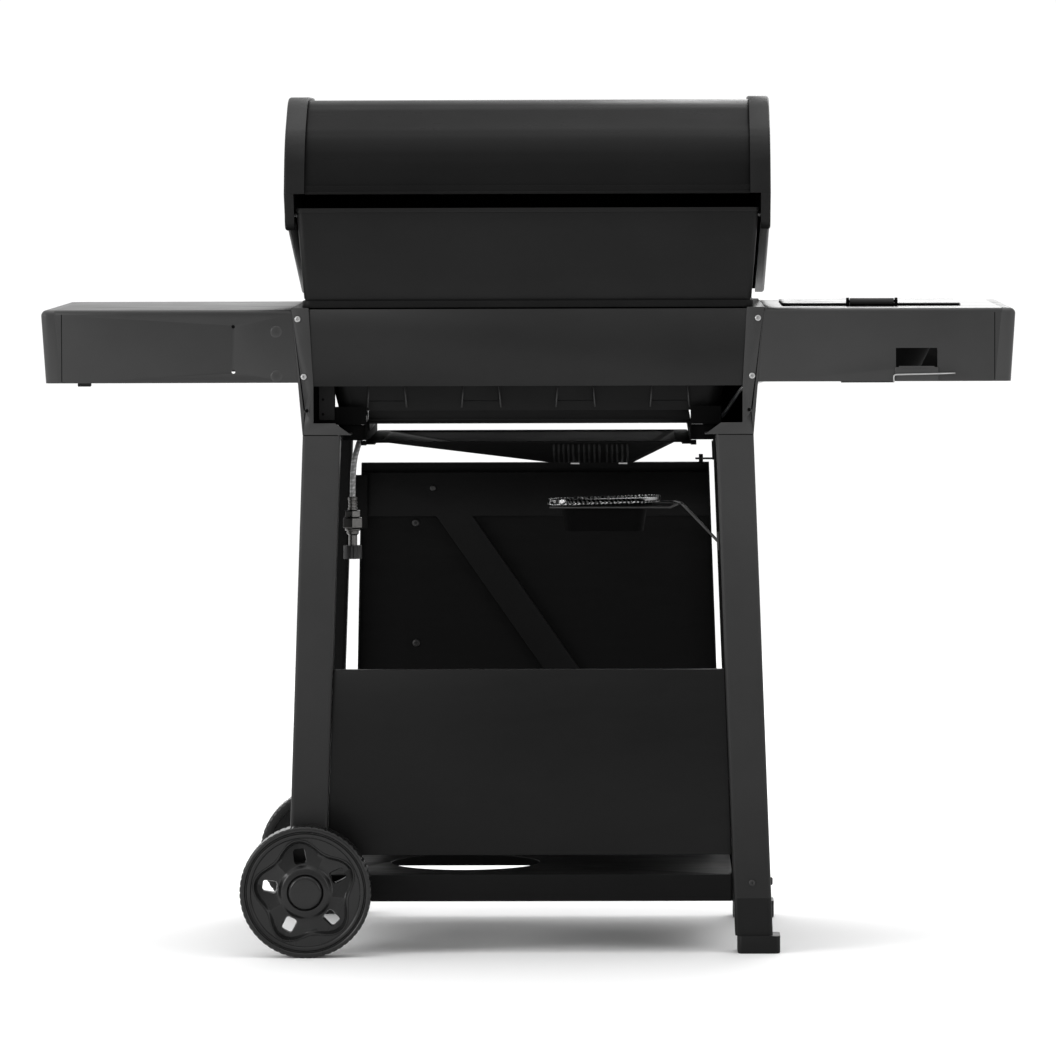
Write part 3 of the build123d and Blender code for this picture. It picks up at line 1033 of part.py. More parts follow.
save(regulator.part, "regulator")

with BuildPart() as coupling_nut:
    rod((REGULATOR_X, REGULATOR_Y, NUT_BOTTOM), (REGULATOR_X, REGULATOR_Y, NUT_TOP), 12.5)
    with BuildSketch(Plane.XY.offset(NUT_BOTTOM)):
        with Locations((REGULATOR_X, REGULATOR_Y)):
            with PolarLocations(13.4, 12):
                Circle(1.9)
    extrude(amount=NUT_TOP - NUT_BOTTOM, mode=Mode.SUBTRACT)
    bores = ((NUT_SEAT, THREAD_R), (NUT_TOP - 2.6, INLET_R + 0.3), (NUT_TOP + 1, 6 + RUNNING))
    for top, radius in bores:
        mouth = (REGULATOR_X, REGULATOR_Y, NUT_BOTTOM - 1)
        rod(mouth, (REGULATOR_X, REGULATOR_Y, top), radius, Mode.SUBTRACT)
save(coupling_nut.part, "coupling_nut")

# ---------------------------------------------------------------- fasteners
LEG_SPLAY = (LEG_BOTTOM_X - LEG_TOP_X) / (CART_TOP - LEG_BOTTOM)
CONSOLE_LEAN = (CONSOLE_TOP_X - CONSOLE_BOTTOM_X) / (CONSOLE_TOP - CART_TOP)
with BuildPart() as cart_bolts:
    for z in (96, 690):
        for side in (RIGHT, LEFT):
            if side == LEFT or z > 100:
                screw((side * leg_x(z), LEG_REAR_FACE, z), (0, 1, 0), 4.5)
    for side in (RIGHT, LEFT):
        for y in (-LEG_Y, LEG_Y):
            for z in (150, 370, 610):
                screw((side * (leg_x(z) + LEG_WIDTH / 2), y, z), (side, 0, LEG_SPLAY), 4.5)
save(cart_bolts.part, "cart_bolts")

with BuildPart() as console_screws:
    for side in (RIGHT, LEFT):
        screw((side * 311, SIDE_REAR, 862), (0, 1, 0), 4.2)
        screw((side * 303, SIDE_REAR, 784), (0, 1, 0), 4.2)
        for y in (-150, 150):
            screw((side * console_x(735), y, 735), (side, 0, -CONSOLE_LEAN), 4.2)
save(console_screws.part, "console_screws")
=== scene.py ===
"""A gas barbecue grill seen from behind: materials and fine pieces around its CAD frame.

Metres, +Z up, the user at -Y, +X the wheel side. Places come from the frame's boxes and record.
"""

import json
import math

import bmesh
import bpy
from mathutils import Matrix, Vector


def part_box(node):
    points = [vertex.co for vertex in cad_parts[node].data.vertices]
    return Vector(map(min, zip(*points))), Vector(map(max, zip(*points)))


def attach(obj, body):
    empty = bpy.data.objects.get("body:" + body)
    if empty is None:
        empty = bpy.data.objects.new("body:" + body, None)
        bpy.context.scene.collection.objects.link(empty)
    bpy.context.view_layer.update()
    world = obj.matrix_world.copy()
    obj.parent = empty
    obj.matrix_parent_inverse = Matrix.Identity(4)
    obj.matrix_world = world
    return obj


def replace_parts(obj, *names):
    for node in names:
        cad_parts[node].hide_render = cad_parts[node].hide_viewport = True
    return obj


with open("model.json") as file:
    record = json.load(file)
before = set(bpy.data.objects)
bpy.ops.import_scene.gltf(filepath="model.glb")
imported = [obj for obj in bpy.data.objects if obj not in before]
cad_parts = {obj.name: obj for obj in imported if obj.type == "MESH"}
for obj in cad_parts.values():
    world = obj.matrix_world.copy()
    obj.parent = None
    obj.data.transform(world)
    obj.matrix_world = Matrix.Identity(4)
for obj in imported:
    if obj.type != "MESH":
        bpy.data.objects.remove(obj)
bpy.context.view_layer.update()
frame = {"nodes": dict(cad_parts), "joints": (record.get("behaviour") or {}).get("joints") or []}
NODES = frame["nodes"]
MM = 0.001
X_AXIS, Y_AXIS, Z_AXIS = Vector((1, 0, 0)), Vector((0, 1, 0)), Vector((0, 0, 1))
JOINTS = {joint["name"]: joint for joint in frame["joints"]}


# ---------------------------------------------------------------- shader helpers
class Tree:
    """A node tree under construction."""

    def __init__(self, tree):
        self.tree = tree

    def node(self, kind, inputs=None, **settings):
        """A node with its settings, and each input given a number or a link."""
        made = self.tree.nodes.new(kind)
        for key, value in settings.items():
            setattr(made, key, value)
        for key, value in (inputs or {}).items():
            self.feed(made.inputs[key], value)
        return made

    def feed(self, socket, value):
        if isinstance(value, bpy.types.NodeSocket):
            self.tree.links.new(value, socket)
        else:
            socket.default_value = value

    def math(self, operation, first, second=0.0):
        """The result of a math node on links or numbers."""
        return self.node("ShaderNodeMath", {0: first, 1: second}, operation=operation).outputs[0]

    def split(self, vector):
        """The X, Y and Z outputs of a vector."""
        return self.node("ShaderNodeSeparateXYZ", {0: vector}).outputs


class Shader(Tree):
    """A material under construction: a Principled surface and the nodes that feed it."""

    def __init__(self, name):
        self.material = bpy.data.materials.new(name)
        self.material.use_nodes = True
        super().__init__(self.material.node_tree)
        self.place = self.node("ShaderNodeTexCoord").outputs["Object"]

    def finish(self, **values):
        """Sets inputs of the Principled surface, written with _ for spaces, and returns the material."""
        for key, value in values.items():
            self.feed(self.tree.nodes["Principled BSDF"].inputs[key.replace("_", " ")], value)
        return self.material

    def facing(self):
        """X, Y and Z of the way that the surface looks."""
        return self.split(self.node("ShaderNodeTexCoord").outputs["Normal"])

    def stretched(self, stretch):
        """The surface's own coordinates, scaled along each axis."""
        return self.node("ShaderNodeMapping", {"Vector": self.place, "Scale": stretch}).outputs[0]

    def noise(self, scale, detail=3.0, roughness=0.55, stretch=(1, 1, 1)):
        """Noise whose scale is in cells per metre."""
        inputs = {"Vector": self.stretched(stretch), "Scale": scale, "Detail": detail, "Roughness": roughness}
        return self.node("ShaderNodeTexNoise", inputs).outputs[0]

    def cells(self, scale, stretch=(1, 1, 1), feature="F1"):
        """Distances in a pattern of cells, so many to the metre."""
        inputs = {"Vector": self.stretched(stretch), "Scale": scale}
        return self.node("ShaderNodeTexVoronoi", inputs, feature=feature).outputs["Distance"]

    def spread(self, value, low, high, start=0.0, end=1.0):
        """value from start to end, spread over low to high."""
        inputs = {"Value": value, "From Min": start, "From Max": end, "To Min": low, "To Max": high}
        return self.node("ShaderNodeMapRange", inputs).outputs[0]

    def mix(self, share, first, second):
        """Two colours mixed by share."""
        return self.node("ShaderNodeMix", {0: share, 6: first, 7: second}, data_type="RGBA").outputs[2]

    def patches(self, value, first, second, most=1.0, start=0.3, end=0.7):
        """Patches of the second colour on the first, where value goes from start to end."""
        return self.mix(self.spread(value, 0, most, start, end), first, second)

    def worn_and_highlit_edges(self, base, edge, share, colour):
        """The base colour with its edges lightened towards another: rubbed wear and painted highlight in one.
        """
        return self.mix(self.math("MULTIPLY", edge, share), base, colour)

    def edges(self, radius):
        """One where the surface turns sharply, zero on the flat."""
        soft = self.node("ShaderNodeBevel", {"Radius": radius}, samples=4).outputs[0]
        sharp = self.node("ShaderNodeNewGeometry").outputs["Normal"]
        both = self.node("ShaderNodeVectorMath", {0: soft, 1: sharp}, operation="DOT_PRODUCT")
        return self.spread(both.outputs["Value"], 1.0, 0.0, 0.75, 0.98)

    def bump(self, height, depth, strength=1.0, normal=None):
        """A bump of the given depth in metres, on top of another if one is given."""
        inputs = {"Height": height, "Distance": depth, "Strength": strength}
        if normal is not None:
            inputs["Normal"] = normal
        return self.node("ShaderNodeBump", inputs).outputs[0]


def grey(tone, warmth=0.0):
    """A grey, a little redder by its warmth."""
    return (tone * (1 + warmth), tone, tone * (1 - warmth), 1)


# height in metres where the painted shade towards the floor fades out
FLOOR_SHADE_TOP = 0.72


def powder_coat(
    name, tone, roughness, depth=0.00004, scale=420.0, specular=0.3, wear_and_highlight=0.5, inside=None, floor_shade=0.0
):
    """Baked paint on steel: a fine pebbled skin, faint handling marks, and slightly polished edges, lightened
    by rubbed wear and painted highlight.

    depth and scale are those of the pebbles; inside is a function that gives the share of painted shade,
    near-black and rougher, that inner faces get;
    the last argument is the share of the paint's brightness taken off at the floor, as painted shade.
    """
    shader = Shader(name)
    peel = shader.noise(scale, 2.0, 0.5)
    fine = shader.noise(scale * 4.5, 2.0, 0.6)
    clouds = shader.noise(5.0, 4.0, 0.6)
    streaks = shader.noise(26.0, 4.0, 0.7, stretch=(0.35, 1, 1.6))
    normal = shader.bump(shader.math("ADD", peel, shader.math("MULTIPLY", fine, 0.35)), depth)
    edge = shader.edges(1.2 * MM)
    base = shader.patches(clouds, grey(tone * 0.86), grey(tone * 1.14))
    # painted highlight and rubbed wear: the edges are lightened towards a paler grey
    base = shader.worn_and_highlit_edges(base, edge, 0.35 * wear_and_highlight, grey(tone * 2.6 + 0.03))
    rough = shader.spread(streaks, roughness - 0.05, roughness + 0.07, 0.3, 0.7)
    rough = shader.math("SUBTRACT", rough, shader.math("MULTIPLY", edge, 0.08))
    # painted shade: the paint darkens towards the floor
    if floor_shade:
        height = shader.split(shader.place)["Z"]
        base = shader.mix(shader.spread(height, floor_shade, 0.0, 0.0, FLOOR_SHADE_TOP), base, grey(0.001))
    # painted shade: inner faces go near-black and rougher
    if inside is not None:
        share = inside(shader)
        base = shader.mix(share, base, grey(tone * 0.1))
        rough = shader.math("ADD", rough, shader.math("MULTIPLY", share, 0.3))
    return shader.finish(Base_Color=base, Roughness=rough, Normal=normal, Specular_IOR_Level=specular)


def faces_rear(shader):
    """One where the surface looks towards +Y."""
    return shader.spread(shader.facing()["Y"], 0.0, 1.0, 0.3, 0.8)


def faces_rear_or_in(shader):
    """One where the surface looks towards +Y or, on a leg, towards the middle of the cart."""
    facing = shader.facing()
    side = shader.math("SIGN", shader.split(shader.place)["X"])
    inward = shader.math("MULTIPLY", shader.math("MULTIPLY", facing["X"], side), -1.0)
    return shader.spread(shader.math("MAXIMUM", inward, facing["Y"]), 0.0, 1.0, 0.3, 0.8)


def faces_shelf_middle(shader):
    """One on the faces that look at the hollow under a shelf."""
    low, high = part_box("shelf_right")
    place, facing = shader.split(shader.place), shader.facing()
    total = 0.0
    for name, axis in (("Y", 1), ("Z", 2)):
        middle, half = (low[axis] + high[axis]) / 2, (high[axis] - low[axis]) / 2
        off = shader.math("SUBTRACT", place[name], middle)
        part = shader.math("MULTIPLY", shader.math("MULTIPLY", off, -1 / half), facing[name])
        total = shader.math("ADD", part, total)
    return shader.spread(total, 0.0, 1.0, 0.2, 0.6)


def cast_paint(name, tone, roughness, specular=0.2):
    """Satin paint over a die casting, with the casting's soft pitting under it."""
    shader = Shader(name)
    pits = shader.spread(shader.cells(260.0), 0, 1, 0.0, 0.5)
    grain = shader.noise(900.0, 3.0, 0.6)
    normal = shader.bump(pits, 0.00005, 0.5, shader.bump(grain, 0.00003))
    base = shader.patches(shader.noise(9.0, 4.0, 0.6), grey(tone * 0.85), grey(tone * 1.2))
    # painted highlight and rubbed wear: the edges are lightened towards a paler grey
    base = shader.worn_and_highlit_edges(base, shader.edges(1.5 * MM), 0.25, grey(tone * 2.2 + 0.02))
    rough = shader.spread(grain, roughness - 0.06, roughness + 0.06, 0.3, 0.7)
    return shader.finish(Base_Color=base, Roughness=rough, Normal=normal, Specular_IOR_Level=specular)


def moulded_plastic(name, tone, roughness=0.5, grain=700.0, depth=0.00003, specular=0.3):
    """Injection-moulded plastic with a spark-eroded texture and faint flow lines."""
    shader = Shader(name)
    normal = shader.bump(shader.cells(grain), depth, 0.8)
    flow = shader.noise(14.0, 4.0, 0.6, stretch=(1, 1, 0.3))
    base = shader.patches(flow, grey(tone * 0.88), grey(tone * 1.12))
    # painted highlight and rubbed wear: the edges are lightened towards a paler grey
    base = shader.worn_and_highlit_edges(base, shader.edges(1 * MM), 0.22, grey(tone * 2 + 0.02))
    rough = shader.spread(flow, roughness - 0.05, roughness + 0.06, 0.3, 0.7)
    return shader.finish(Base_Color=base, Roughness=rough, Normal=normal, Specular_IOR_Level=specular)


def plated_metal(name, tone, roughness, warmth=0.0, tarnish=0.3):
    """Zinc or chrome plate or bare aluminium: metallic, with crystal mottling and dull patches."""
    shader = Shader(name)
    patches = shader.noise(45.0, 5.0, 0.65)
    dull = grey(tone * 0.45, warmth + 0.04)
    base = shader.patches(patches, grey(tone, warmth), dull, tarnish, 0.4, 0.8)
    rough = shader.spread(patches, roughness, roughness + 0.2, 0.35, 0.75)
    normal = shader.bump(shader.cells(380.0), 0.00001, 0.5)
    return shader.finish(Base_Color=base, Roughness=rough, Metallic=1.0, Normal=normal)


def brushed_metal(name, tone, roughness, grain_axis):
    """Sheet or bar with a fine polish grain along one axis."""
    shader = Shader(name)
    stretch = [55.0, 55.0, 55.0]
    stretch[grain_axis] = 1.0
    grain = shader.noise(34.0, 5.0, 0.7, stretch=tuple(stretch))
    stain = shader.noise(12.0, 4.0, 0.6)
    base = shader.patches(stain, grey(tone), grey(tone * 0.55, 0.06), 0.35, 0.4, 0.8)
    rough = shader.spread(grain, roughness - 0.07, roughness + 0.1, 0.3, 0.7)
    return shader.finish(Base_Color=base, Roughness=rough, Metallic=1.0, Normal=shader.bump(grain, 0.000012))


def enamelled_iron(name):
    """Cast grates: rough casting under a semi-gloss enamel."""
    shader = Shader(name)
    lumps = shader.noise(240.0, 4.0, 0.65)
    normal = shader.bump(shader.cells(700.0), 0.00005, 0.6, shader.bump(lumps, 0.00018))
    scale = shader.noise(40.0, 5.0, 0.7)
    base = shader.patches(scale, grey(0.012), grey(0.05, 0.12), 0.6, 0.45, 0.8)
    return shader.finish(Base_Color=base, Roughness=shader.spread(scale, 0.32, 0.6), Normal=normal)


def burnt_steel(name):
    """Pipe under the firebox: matt, sooty and faintly brown."""
    shader = Shader(name)
    soot = shader.noise(22.0, 6.0, 0.7)
    normal = shader.bump(shader.noise(500.0, 3.0, 0.6), 0.00006)
    base = shader.patches(soot, grey(0.02), grey(0.085, 0.16), 1, 0.35, 0.7)
    rough = shader.spread(soot, 0.5, 0.75)
    return shader.finish(Base_Color=base, Roughness=rough, Metallic=0.6, Normal=normal)


CRIMP_PITCH = 6.2 * MM


def crinkled_foil(name):
    """Pressed foil: bright, with sharp little creases, and painted shade in the gaps between its crimps and
    along its creases.
    """
    shader = Shader(name)
    creases = shader.cells(150.0, feature="DISTANCE_TO_EDGE")
    small = shader.cells(420.0, stretch=(1, 1, 2.5))
    normal = shader.bump(small, 0.0003, 0.6, shader.bump(creases, 0.0007, 0.8))
    place = shader.split(shader.place)
    along = shader.math("ADD", place["X"], place["Y"])
    crimps = shader.math("SINE", shader.math("MULTIPLY", along, 2 * math.pi / CRIMP_PITCH))
    # painted shade: the foil goes near-black in its crimp troughs and along its creases
    crimp_and_crease_shade = shader.math("ADD", crimps, shader.math("MULTIPLY", creases, 0.8))
    base = shader.patches(crimp_and_crease_shade, grey(0.03), grey(0.62), 1.0, -0.1, 0.5)
    return shader.finish(Base_Color=base, Roughness=0.3, Metallic=1.0, Normal=normal)


def braided_hose(name):
    """Grey hose cover with a woven diagonal braid moulded into it."""
    shader = Shader(name)
    bands = []
    for direction, distortion in (("DIAGONAL", 0.6), ("Z", -0.6)):
        inputs = {"Vector": shader.place, "Scale": 60.0, "Distortion": distortion, "Detail": 1.0}
        lines = shader.node("ShaderNodeTexWave", inputs, wave_type="BANDS", bands_direction=direction)
        bands.append(lines.outputs[1])
    weave = shader.math("MULTIPLY", *bands)
    grime = shader.noise(80.0, 4.0, 0.6)
    base = shader.mix(shader.spread(weave, 0, 1), grey(0.16), grey(0.42))
    base = shader.patches(grime, base, grey(0.08), 0.6, 0.5, 0.8)
    return shader.finish(Base_Color=base, Roughness=0.42, Normal=shader.bump(weave, 0.0004))


def clear_glass(name):
    """The dial's cover glass, with faint smears."""
    shader = Shader(name)
    rough = shader.spread(shader.noise(60.0, 4.0, 0.6, stretch=(1, 1, 3)), 0.02, 0.12, 0.4, 0.8)
    return shader.finish(Base_Color=grey(0.95), Roughness=rough, Transmission_Weight=1.0, IOR=1.45)


def pale_floor(name):
    shader = Shader(name)
    base = shader.mix(shader.noise(0.6, 3.0, 0.5), grey(0.9), grey(0.94))
    return shader.finish(Base_Color=base, Roughness=0.7, Specular_IOR_Level=0.2)


# painted shade: faces that look into the hollow under each shelf go near-black
SHELF_PAINT = powder_coat("shelf_powder_coat", 0.027, 0.34, specular=0.25, inside=faces_shelf_middle)
# painted shade: the rear legs darken towards the floor
LEG_PAINT = powder_coat("leg_powder_coat", 0.03, 0.42, specular=0.2, floor_shade=0.75)
# painted shade: a darker, duller copy of the leg paint, whose rear and inward faces go near-black
SHADED_FRONT_LEG_PAINT = powder_coat("front_leg_shaded_powder_coat", 0.027, 0.42, specular=0.12, inside=faces_rear_or_in)
# painted shade: a much darker, duller copy of the powder coat, standing in for the shade under the cart
SHADED_PAN_PAINT = powder_coat("bottom_shelf_shaded_powder_coat", 0.0055, 0.5, specular=0.05)
WING_PAINT = powder_coat("console_powder_coat", 0.03, 0.4, specular=0.26)
# painted shade: a darker copy of the console paint, standing in for the shade on the fascia's face
SHADED_FASCIA_PAINT = powder_coat("fascia_shaded_powder_coat", 0.011, 0.4, specular=0.16)
PANEL_PAINT = powder_coat("panel_powder_coat", 0.005, 0.4, specular=0.12)
# painted shade: the door's faces that look towards +Y, its inner side, go near-black
DOOR_PAINT = powder_coat("door_powder_coat", 0.026, 0.36, specular=0.12, inside=faces_rear)
LID_PAINT = powder_coat("lid_powder_coat", 0.027, 0.34, specular=0.25)
MATT_BLACK = powder_coat("matt_black_coat", 0.002, 0.7, specular=0.03)
TRIM_PAINT = powder_coat("trim_powder_coat", 0.007, 0.5, specular=0.08)
FIREBOX_PAINT = powder_coat("firebox_paint", 0.0075, 0.5, 0.00006, 600.0, 0.13)
HOOD_ENAMEL = powder_coat("hood_enamel", 0.0075, 0.3, 0.00003, 240.0, 0.03, 0.3)
CAP_PAINT = cast_paint("hood_cap_paint", 0.008, 0.42, 0.1)
TUB_PAINT = cast_paint("tub_paint", 0.0045, 0.5, 0.1)
BLACK_PLASTIC = moulded_plastic("black_moulded_plastic", 0.006, 0.44, specular=0.14)
TIP_PLASTIC = moulded_plastic("shelf_tip_plastic", 0.032, 0.4, 900.0, 0.00002)
WHEEL_PLASTIC = moulded_plastic("wheel_plastic", 0.008, 0.26, 800.0, 0.00001, specular=0.32)
KNOB_PLASTIC = moulded_plastic("knob_plastic", 0.012, 0.3, 1100.0, 0.00001)
GREY_PLASTIC = moulded_plastic("grey_plastic", 0.04, 0.45)
ZINC = plated_metal("zinc_plate", 0.42, 0.3)
BLACK_ZINC = plated_metal("black_zinc", 0.06, 0.4, tarnish=0.5)
CHROME = plated_metal("chrome_wire", 0.7, 0.12, tarnish=0.15)
FITTING_METAL = plated_metal("aged_fitting_metal", 0.12, 0.24, warmth=0.02, tarnish=0.95)
TUBE_METAL = plated_metal("aluminium_tube", 0.8, 0.5, tarnish=0.1)
STAINLESS_X = brushed_metal("brushed_stainless_x", 0.62, 0.27, 0)
STAINLESS_Y = brushed_metal("brushed_stainless_y", 0.5, 0.35, 1)
STAINLESS_Z = brushed_metal("brushed_stainless_z", 0.62, 0.27, 2)
ALUMINISED = burnt_steel("aluminised_steel")
IRON = enamelled_iron("enamelled_iron")
FOIL = crinkled_foil("foil")
HOSE_COVER = braided_hose("hose_cover")
GLASS = clear_glass("dial_glass")

NODE_FINISH = {
    SHELF_PAINT: ["shelf_right", "shelf_left"],
    LEG_PAINT: ["leg_rear_right", "leg_rear_left"],
    SHADED_FRONT_LEG_PAINT: ["leg_front_right", "leg_front_left"],
    SHADED_PAN_PAINT: ["bottom_shelf"],
    WING_PAINT: ["console_side_right", "console_side_left"],
    SHADED_FASCIA_PAINT: ["rear_fascia", "control_panel"],
    PANEL_PAINT: ["rear_panel"],
    DOOR_PAINT: ["door_panel"],
    MATT_BLACK: ["grease_cup", "tray_rails", "grease_tray", "side_burner_pan"],
    TRIM_PAINT: ["door_brace", "door_catch", "door_hinges"],
    FIREBOX_PAINT: ["firebox_upper", "side_burner_lid"],
    HOOD_ENAMEL: ["hood_skin"],
    CAP_PAINT: ["hood_cap_right", "hood_cap_left"],
    TUB_PAINT: ["firebox_tub"],
    BLACK_PLASTIC: ["foot_rear", "foot_front", "handle_posts"],
    TIP_PLASTIC: ["shelf_cap_right", "shelf_cap_left"],
    WHEEL_PLASTIC: ["wheel_rear", "wheel_front", "hub_cap_rear", "hub_cap_front"],
    KNOB_PLASTIC: ["knob_1", "knob_2", "knob_3", "knob_4", "knob_side", "coupling_nut"],
    ZINC: ["axle", "hood_pins", "cart_bolts", "console_screws"],
    TUBE_METAL: ["side_gas_tube"],
    CHROME: ["warming_rack", "hood_gauge"],
    BLACK_ZINC: ["cup_hanger"],
    FITTING_METAL: ["regulator"],
    STAINLESS_X: ["hood_handle"],
    STAINLESS_Y: ["burners", "flame_tamers", "side_burner_head"],
    STAINLESS_Z: ["door_handle"],
    ALUMINISED: ["gas_manifold"],
    IRON: ["cooking_grates", "side_burner_grate"],
    FOIL: ["foil_liner"],
    HOSE_COVER: ["gas_hose"],
}


# ---------------------------------------------------------------- mesh helpers
def adopt(name, data, material, body, smooth=True):
    """Turns mesh data into a piece with a material, riding on a body."""
    piece = bpy.data.objects.new(name, data)
    bpy.context.scene.collection.objects.link(piece)
    data.materials.append(material)
    shade(data, smooth)
    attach(piece, body)
    return piece


def shade(data, smooth):
    """Sets every face of a mesh to smooth or flat shading."""
    for polygon in data.polygons:
        polygon.use_smooth = smooth


def round_edges(piece, width, segments=2, angle=math.radians(35)):
    bevel = piece.modifiers.new("edges", "BEVEL")
    bevel.width = width
    bevel.segments = segments
    bevel.limit_method = "ANGLE"
    bevel.angle_limit = angle
    bevel.harden_normals = True
    return piece


def basis(direction):
    """Two unit vectors across a direction."""
    direction = Vector(direction).normalized()
    helper = Z_AXIS if abs(direction.z) < 0.9 else X_AXIS
    across = helper.cross(direction).normalized()
    return across, direction.cross(across).normalized()


def circle(centre, across, up, radius, segments, phase=0.0):
    """Points round a centre in the plane of two unit vectors, phase steps on from the first."""
    turns = [2 * math.pi * (k + phase) / segments for k in range(segments)]
    return [centre + (across * math.cos(turn) + up * math.sin(turn)) * radius for turn in turns]


class Mesher:
    """Collects the vertices and faces of one piece."""

    def __init__(self):
        self.verts = []
        self.faces = []

    def ring(self, points):
        """Adds a ring of points and returns its indices."""
        first = len(self.verts)
        self.verts.extend(points)
        return list(range(first, first + len(points)))

    def bridge(self, lower, upper, closed=True):
        """Quads between two rings of one length."""
        count = len(lower)
        for i in range(count if closed else count - 1):
            j = (i + 1) % count
            self.faces.append((lower[i], lower[j], upper[j], upper[i]))

    def cap(self, ring, flip=False):
        self.faces.append(tuple(reversed(ring)) if flip else tuple(ring))

    def loft(self, rings, close_start=True, close_end=True):
        """A skin over several rings of points."""
        placed = [self.ring(points) for points in rings]
        for lower, upper in zip(placed, placed[1:]):
            self.bridge(lower, upper)
        if close_start:
            self.cap(placed[0], flip=True)
        if close_end:
            self.cap(placed[-1])
        return placed

    def lathe(self, origin, direction, profile, segments=32, closed=True):
        """A turned shape: profile holds (radius, height) pairs in millimetres along direction."""
        origin, direction = Vector(origin), Vector(direction).normalized()
        across, up = basis(direction)
        rings = [circle(origin + direction * (h * MM), across, up, r * MM, segments) for r, h in profile]
        return self.loft(rings, closed, closed)

    def block(self, low, high):
        """A box between two corners."""
        (x0, y0, z0), (x1, y1, z1) = low, high
        lower = [(x0, y0, z0), (x1, y0, z0), (x1, y1, z0), (x0, y1, z0)]
        upper = [(x, y, z1) for x, y, _ in lower]
        self.loft([[Vector(p) for p in lower], [Vector(p) for p in upper]])

    def tube(self, points, radius, segments=12):
        """A round bar along points, its ends closed."""
        points = [Vector(p) for p in points]
        rings = []
        across = None
        for k, point in enumerate(points):
            before, after = points[max(k - 1, 0)], points[min(k + 1, len(points) - 1)]
            along = (after - before).normalized()
            if across is None:
                across, up = basis(along)
            else:
                across = (across - along * across.dot(along)).normalized()
                up = along.cross(across)
            rings.append(circle(point, across, up, radius, segments))
        self.loft(rings)

    def prism(self, origin, first, second, corners, rise):
        """A flat shape given in millimetres along two directions from origin, raised by a vector."""
        lower = [origin + first * (a * MM) + second * (b * MM) for a, b in corners]
        self.loft([lower, [point + rise for point in lower]])

    def mesh(self, name):
        """What was collected, as mesh data."""
        data = bpy.data.meshes.new(name)
        data.from_pydata([tuple(v) for v in self.verts], [], self.faces)
        return data

    def piece(self, name, material, body="cart", smooth=True):
        """What was collected, as a piece that rides on a body."""
        data = self.mesh(name)
        data.validate()
        return adopt(name, data, material, body, smooth)

    def plate(self, name, material, rounding, body="cart"):
        """A flat-shaded piece with slightly rounded edges."""
        return round_edges(self.piece(name, material, body, smooth=False), rounding)

    def solid(self, name):
        """A bare object with all its faces turned outward."""
        data = self.mesh(name)
        turned = bmesh.new()
        turned.from_mesh(data)
        bmesh.ops.recalc_face_normals(turned, faces=turned.faces)
        turned.to_mesh(data)
        turned.free()
        made = bpy.data.objects.new(name, data)
        bpy.context.scene.collection.objects.link(made)
        return made


def bent(points, radius, steps=6):
    """Points of a path whose corners are rounded by quadratic curves."""
    points = [Vector(p) for p in points]
    path = [points[0]]
    for before, corner, after in zip(points, points[1:], points[2:]):
        reach = min(radius, (before - corner).length * 0.49, (after - corner).length * 0.49)
        start = corner + (before - corner).normalized() * reach
        end = corner + (after - corner).normalized() * reach
        for k in range(steps + 1):
            t = k / steps
            path.append(start * (1 - t) ** 2 + corner * (2 * t * (1 - t)) + end * t**2)
    path.append(points[-1])
    return path


def rounded_rectangle(half_x, half_y, corner, count_per_corner=6, centre=(0.0, 0.0), z=0.0):
    """Points round a rectangle with round corners, counter-clockwise."""
    points = []
    for sign_x, sign_y, start in ((1, 1, 0), (-1, 1, 90), (-1, -1, 180), (1, -1, 270)):
        middle = (centre[0] + sign_x * (half_x - corner), centre[1] + sign_y * (half_y - corner))
        for k in range(count_per_corner + 1):
            turn = math.radians(start + 90 * k / count_per_corner)
            x, y = middle[0] + corner * math.cos(turn), middle[1] + corner * math.sin(turn)
            points.append(Vector((x, y, z)))
    return points


def islands(node):
    """The separate solids of a CAD node, each as its list of points."""
    mesh = bmesh.new()
    mesh.from_mesh(NODES[node].data)
    bmesh.ops.remove_doubles(mesh, verts=mesh.verts, dist=0.000005)
    seen, groups = set(), []
    for first in mesh.verts:
        if first in seen:
            continue
        seen.add(first)
        stack, group = [first], []
        while stack:
            vertex = stack.pop()
            group.append(vertex.co.copy())
            fresh = [o for o in (edge.other_vert(vertex) for edge in vertex.link_edges) if o not in seen]
            seen.update(fresh)
            stack.extend(fresh)
        groups.append(group)
    mesh.free()
    return groups


def middle_of(node):
    """The middle of a CAD node's box."""
    low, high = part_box(node)
    return (low + high) / 2


def span(points):
    """Lowest and highest corner of points."""
    low = Vector([min(p[k] for p in points) for k in range(3)])
    high = Vector([max(p[k] for p in points) for k in range(3)])
    return low, high


# ---------------------------------------------------------------- CAD nodes
def finish_cad_nodes():
    """Gives each CAD node its material, rounded edges and smooth shading; the long flat legs keep theirs."""
    for material, names in NODE_FINISH.items():
        for name in names:
            node = NODES[name]
            node.data.materials.clear()
            node.data.materials.append(material)
            if name.startswith("leg_"):
                continue
            node.modifiers.new("weld", "WELD").merge_threshold = 0.01 * MM
            round_edges(node, 0.6 * MM, angle=math.radians(32))
            shade(node.data, True)


finish_cad_nodes()


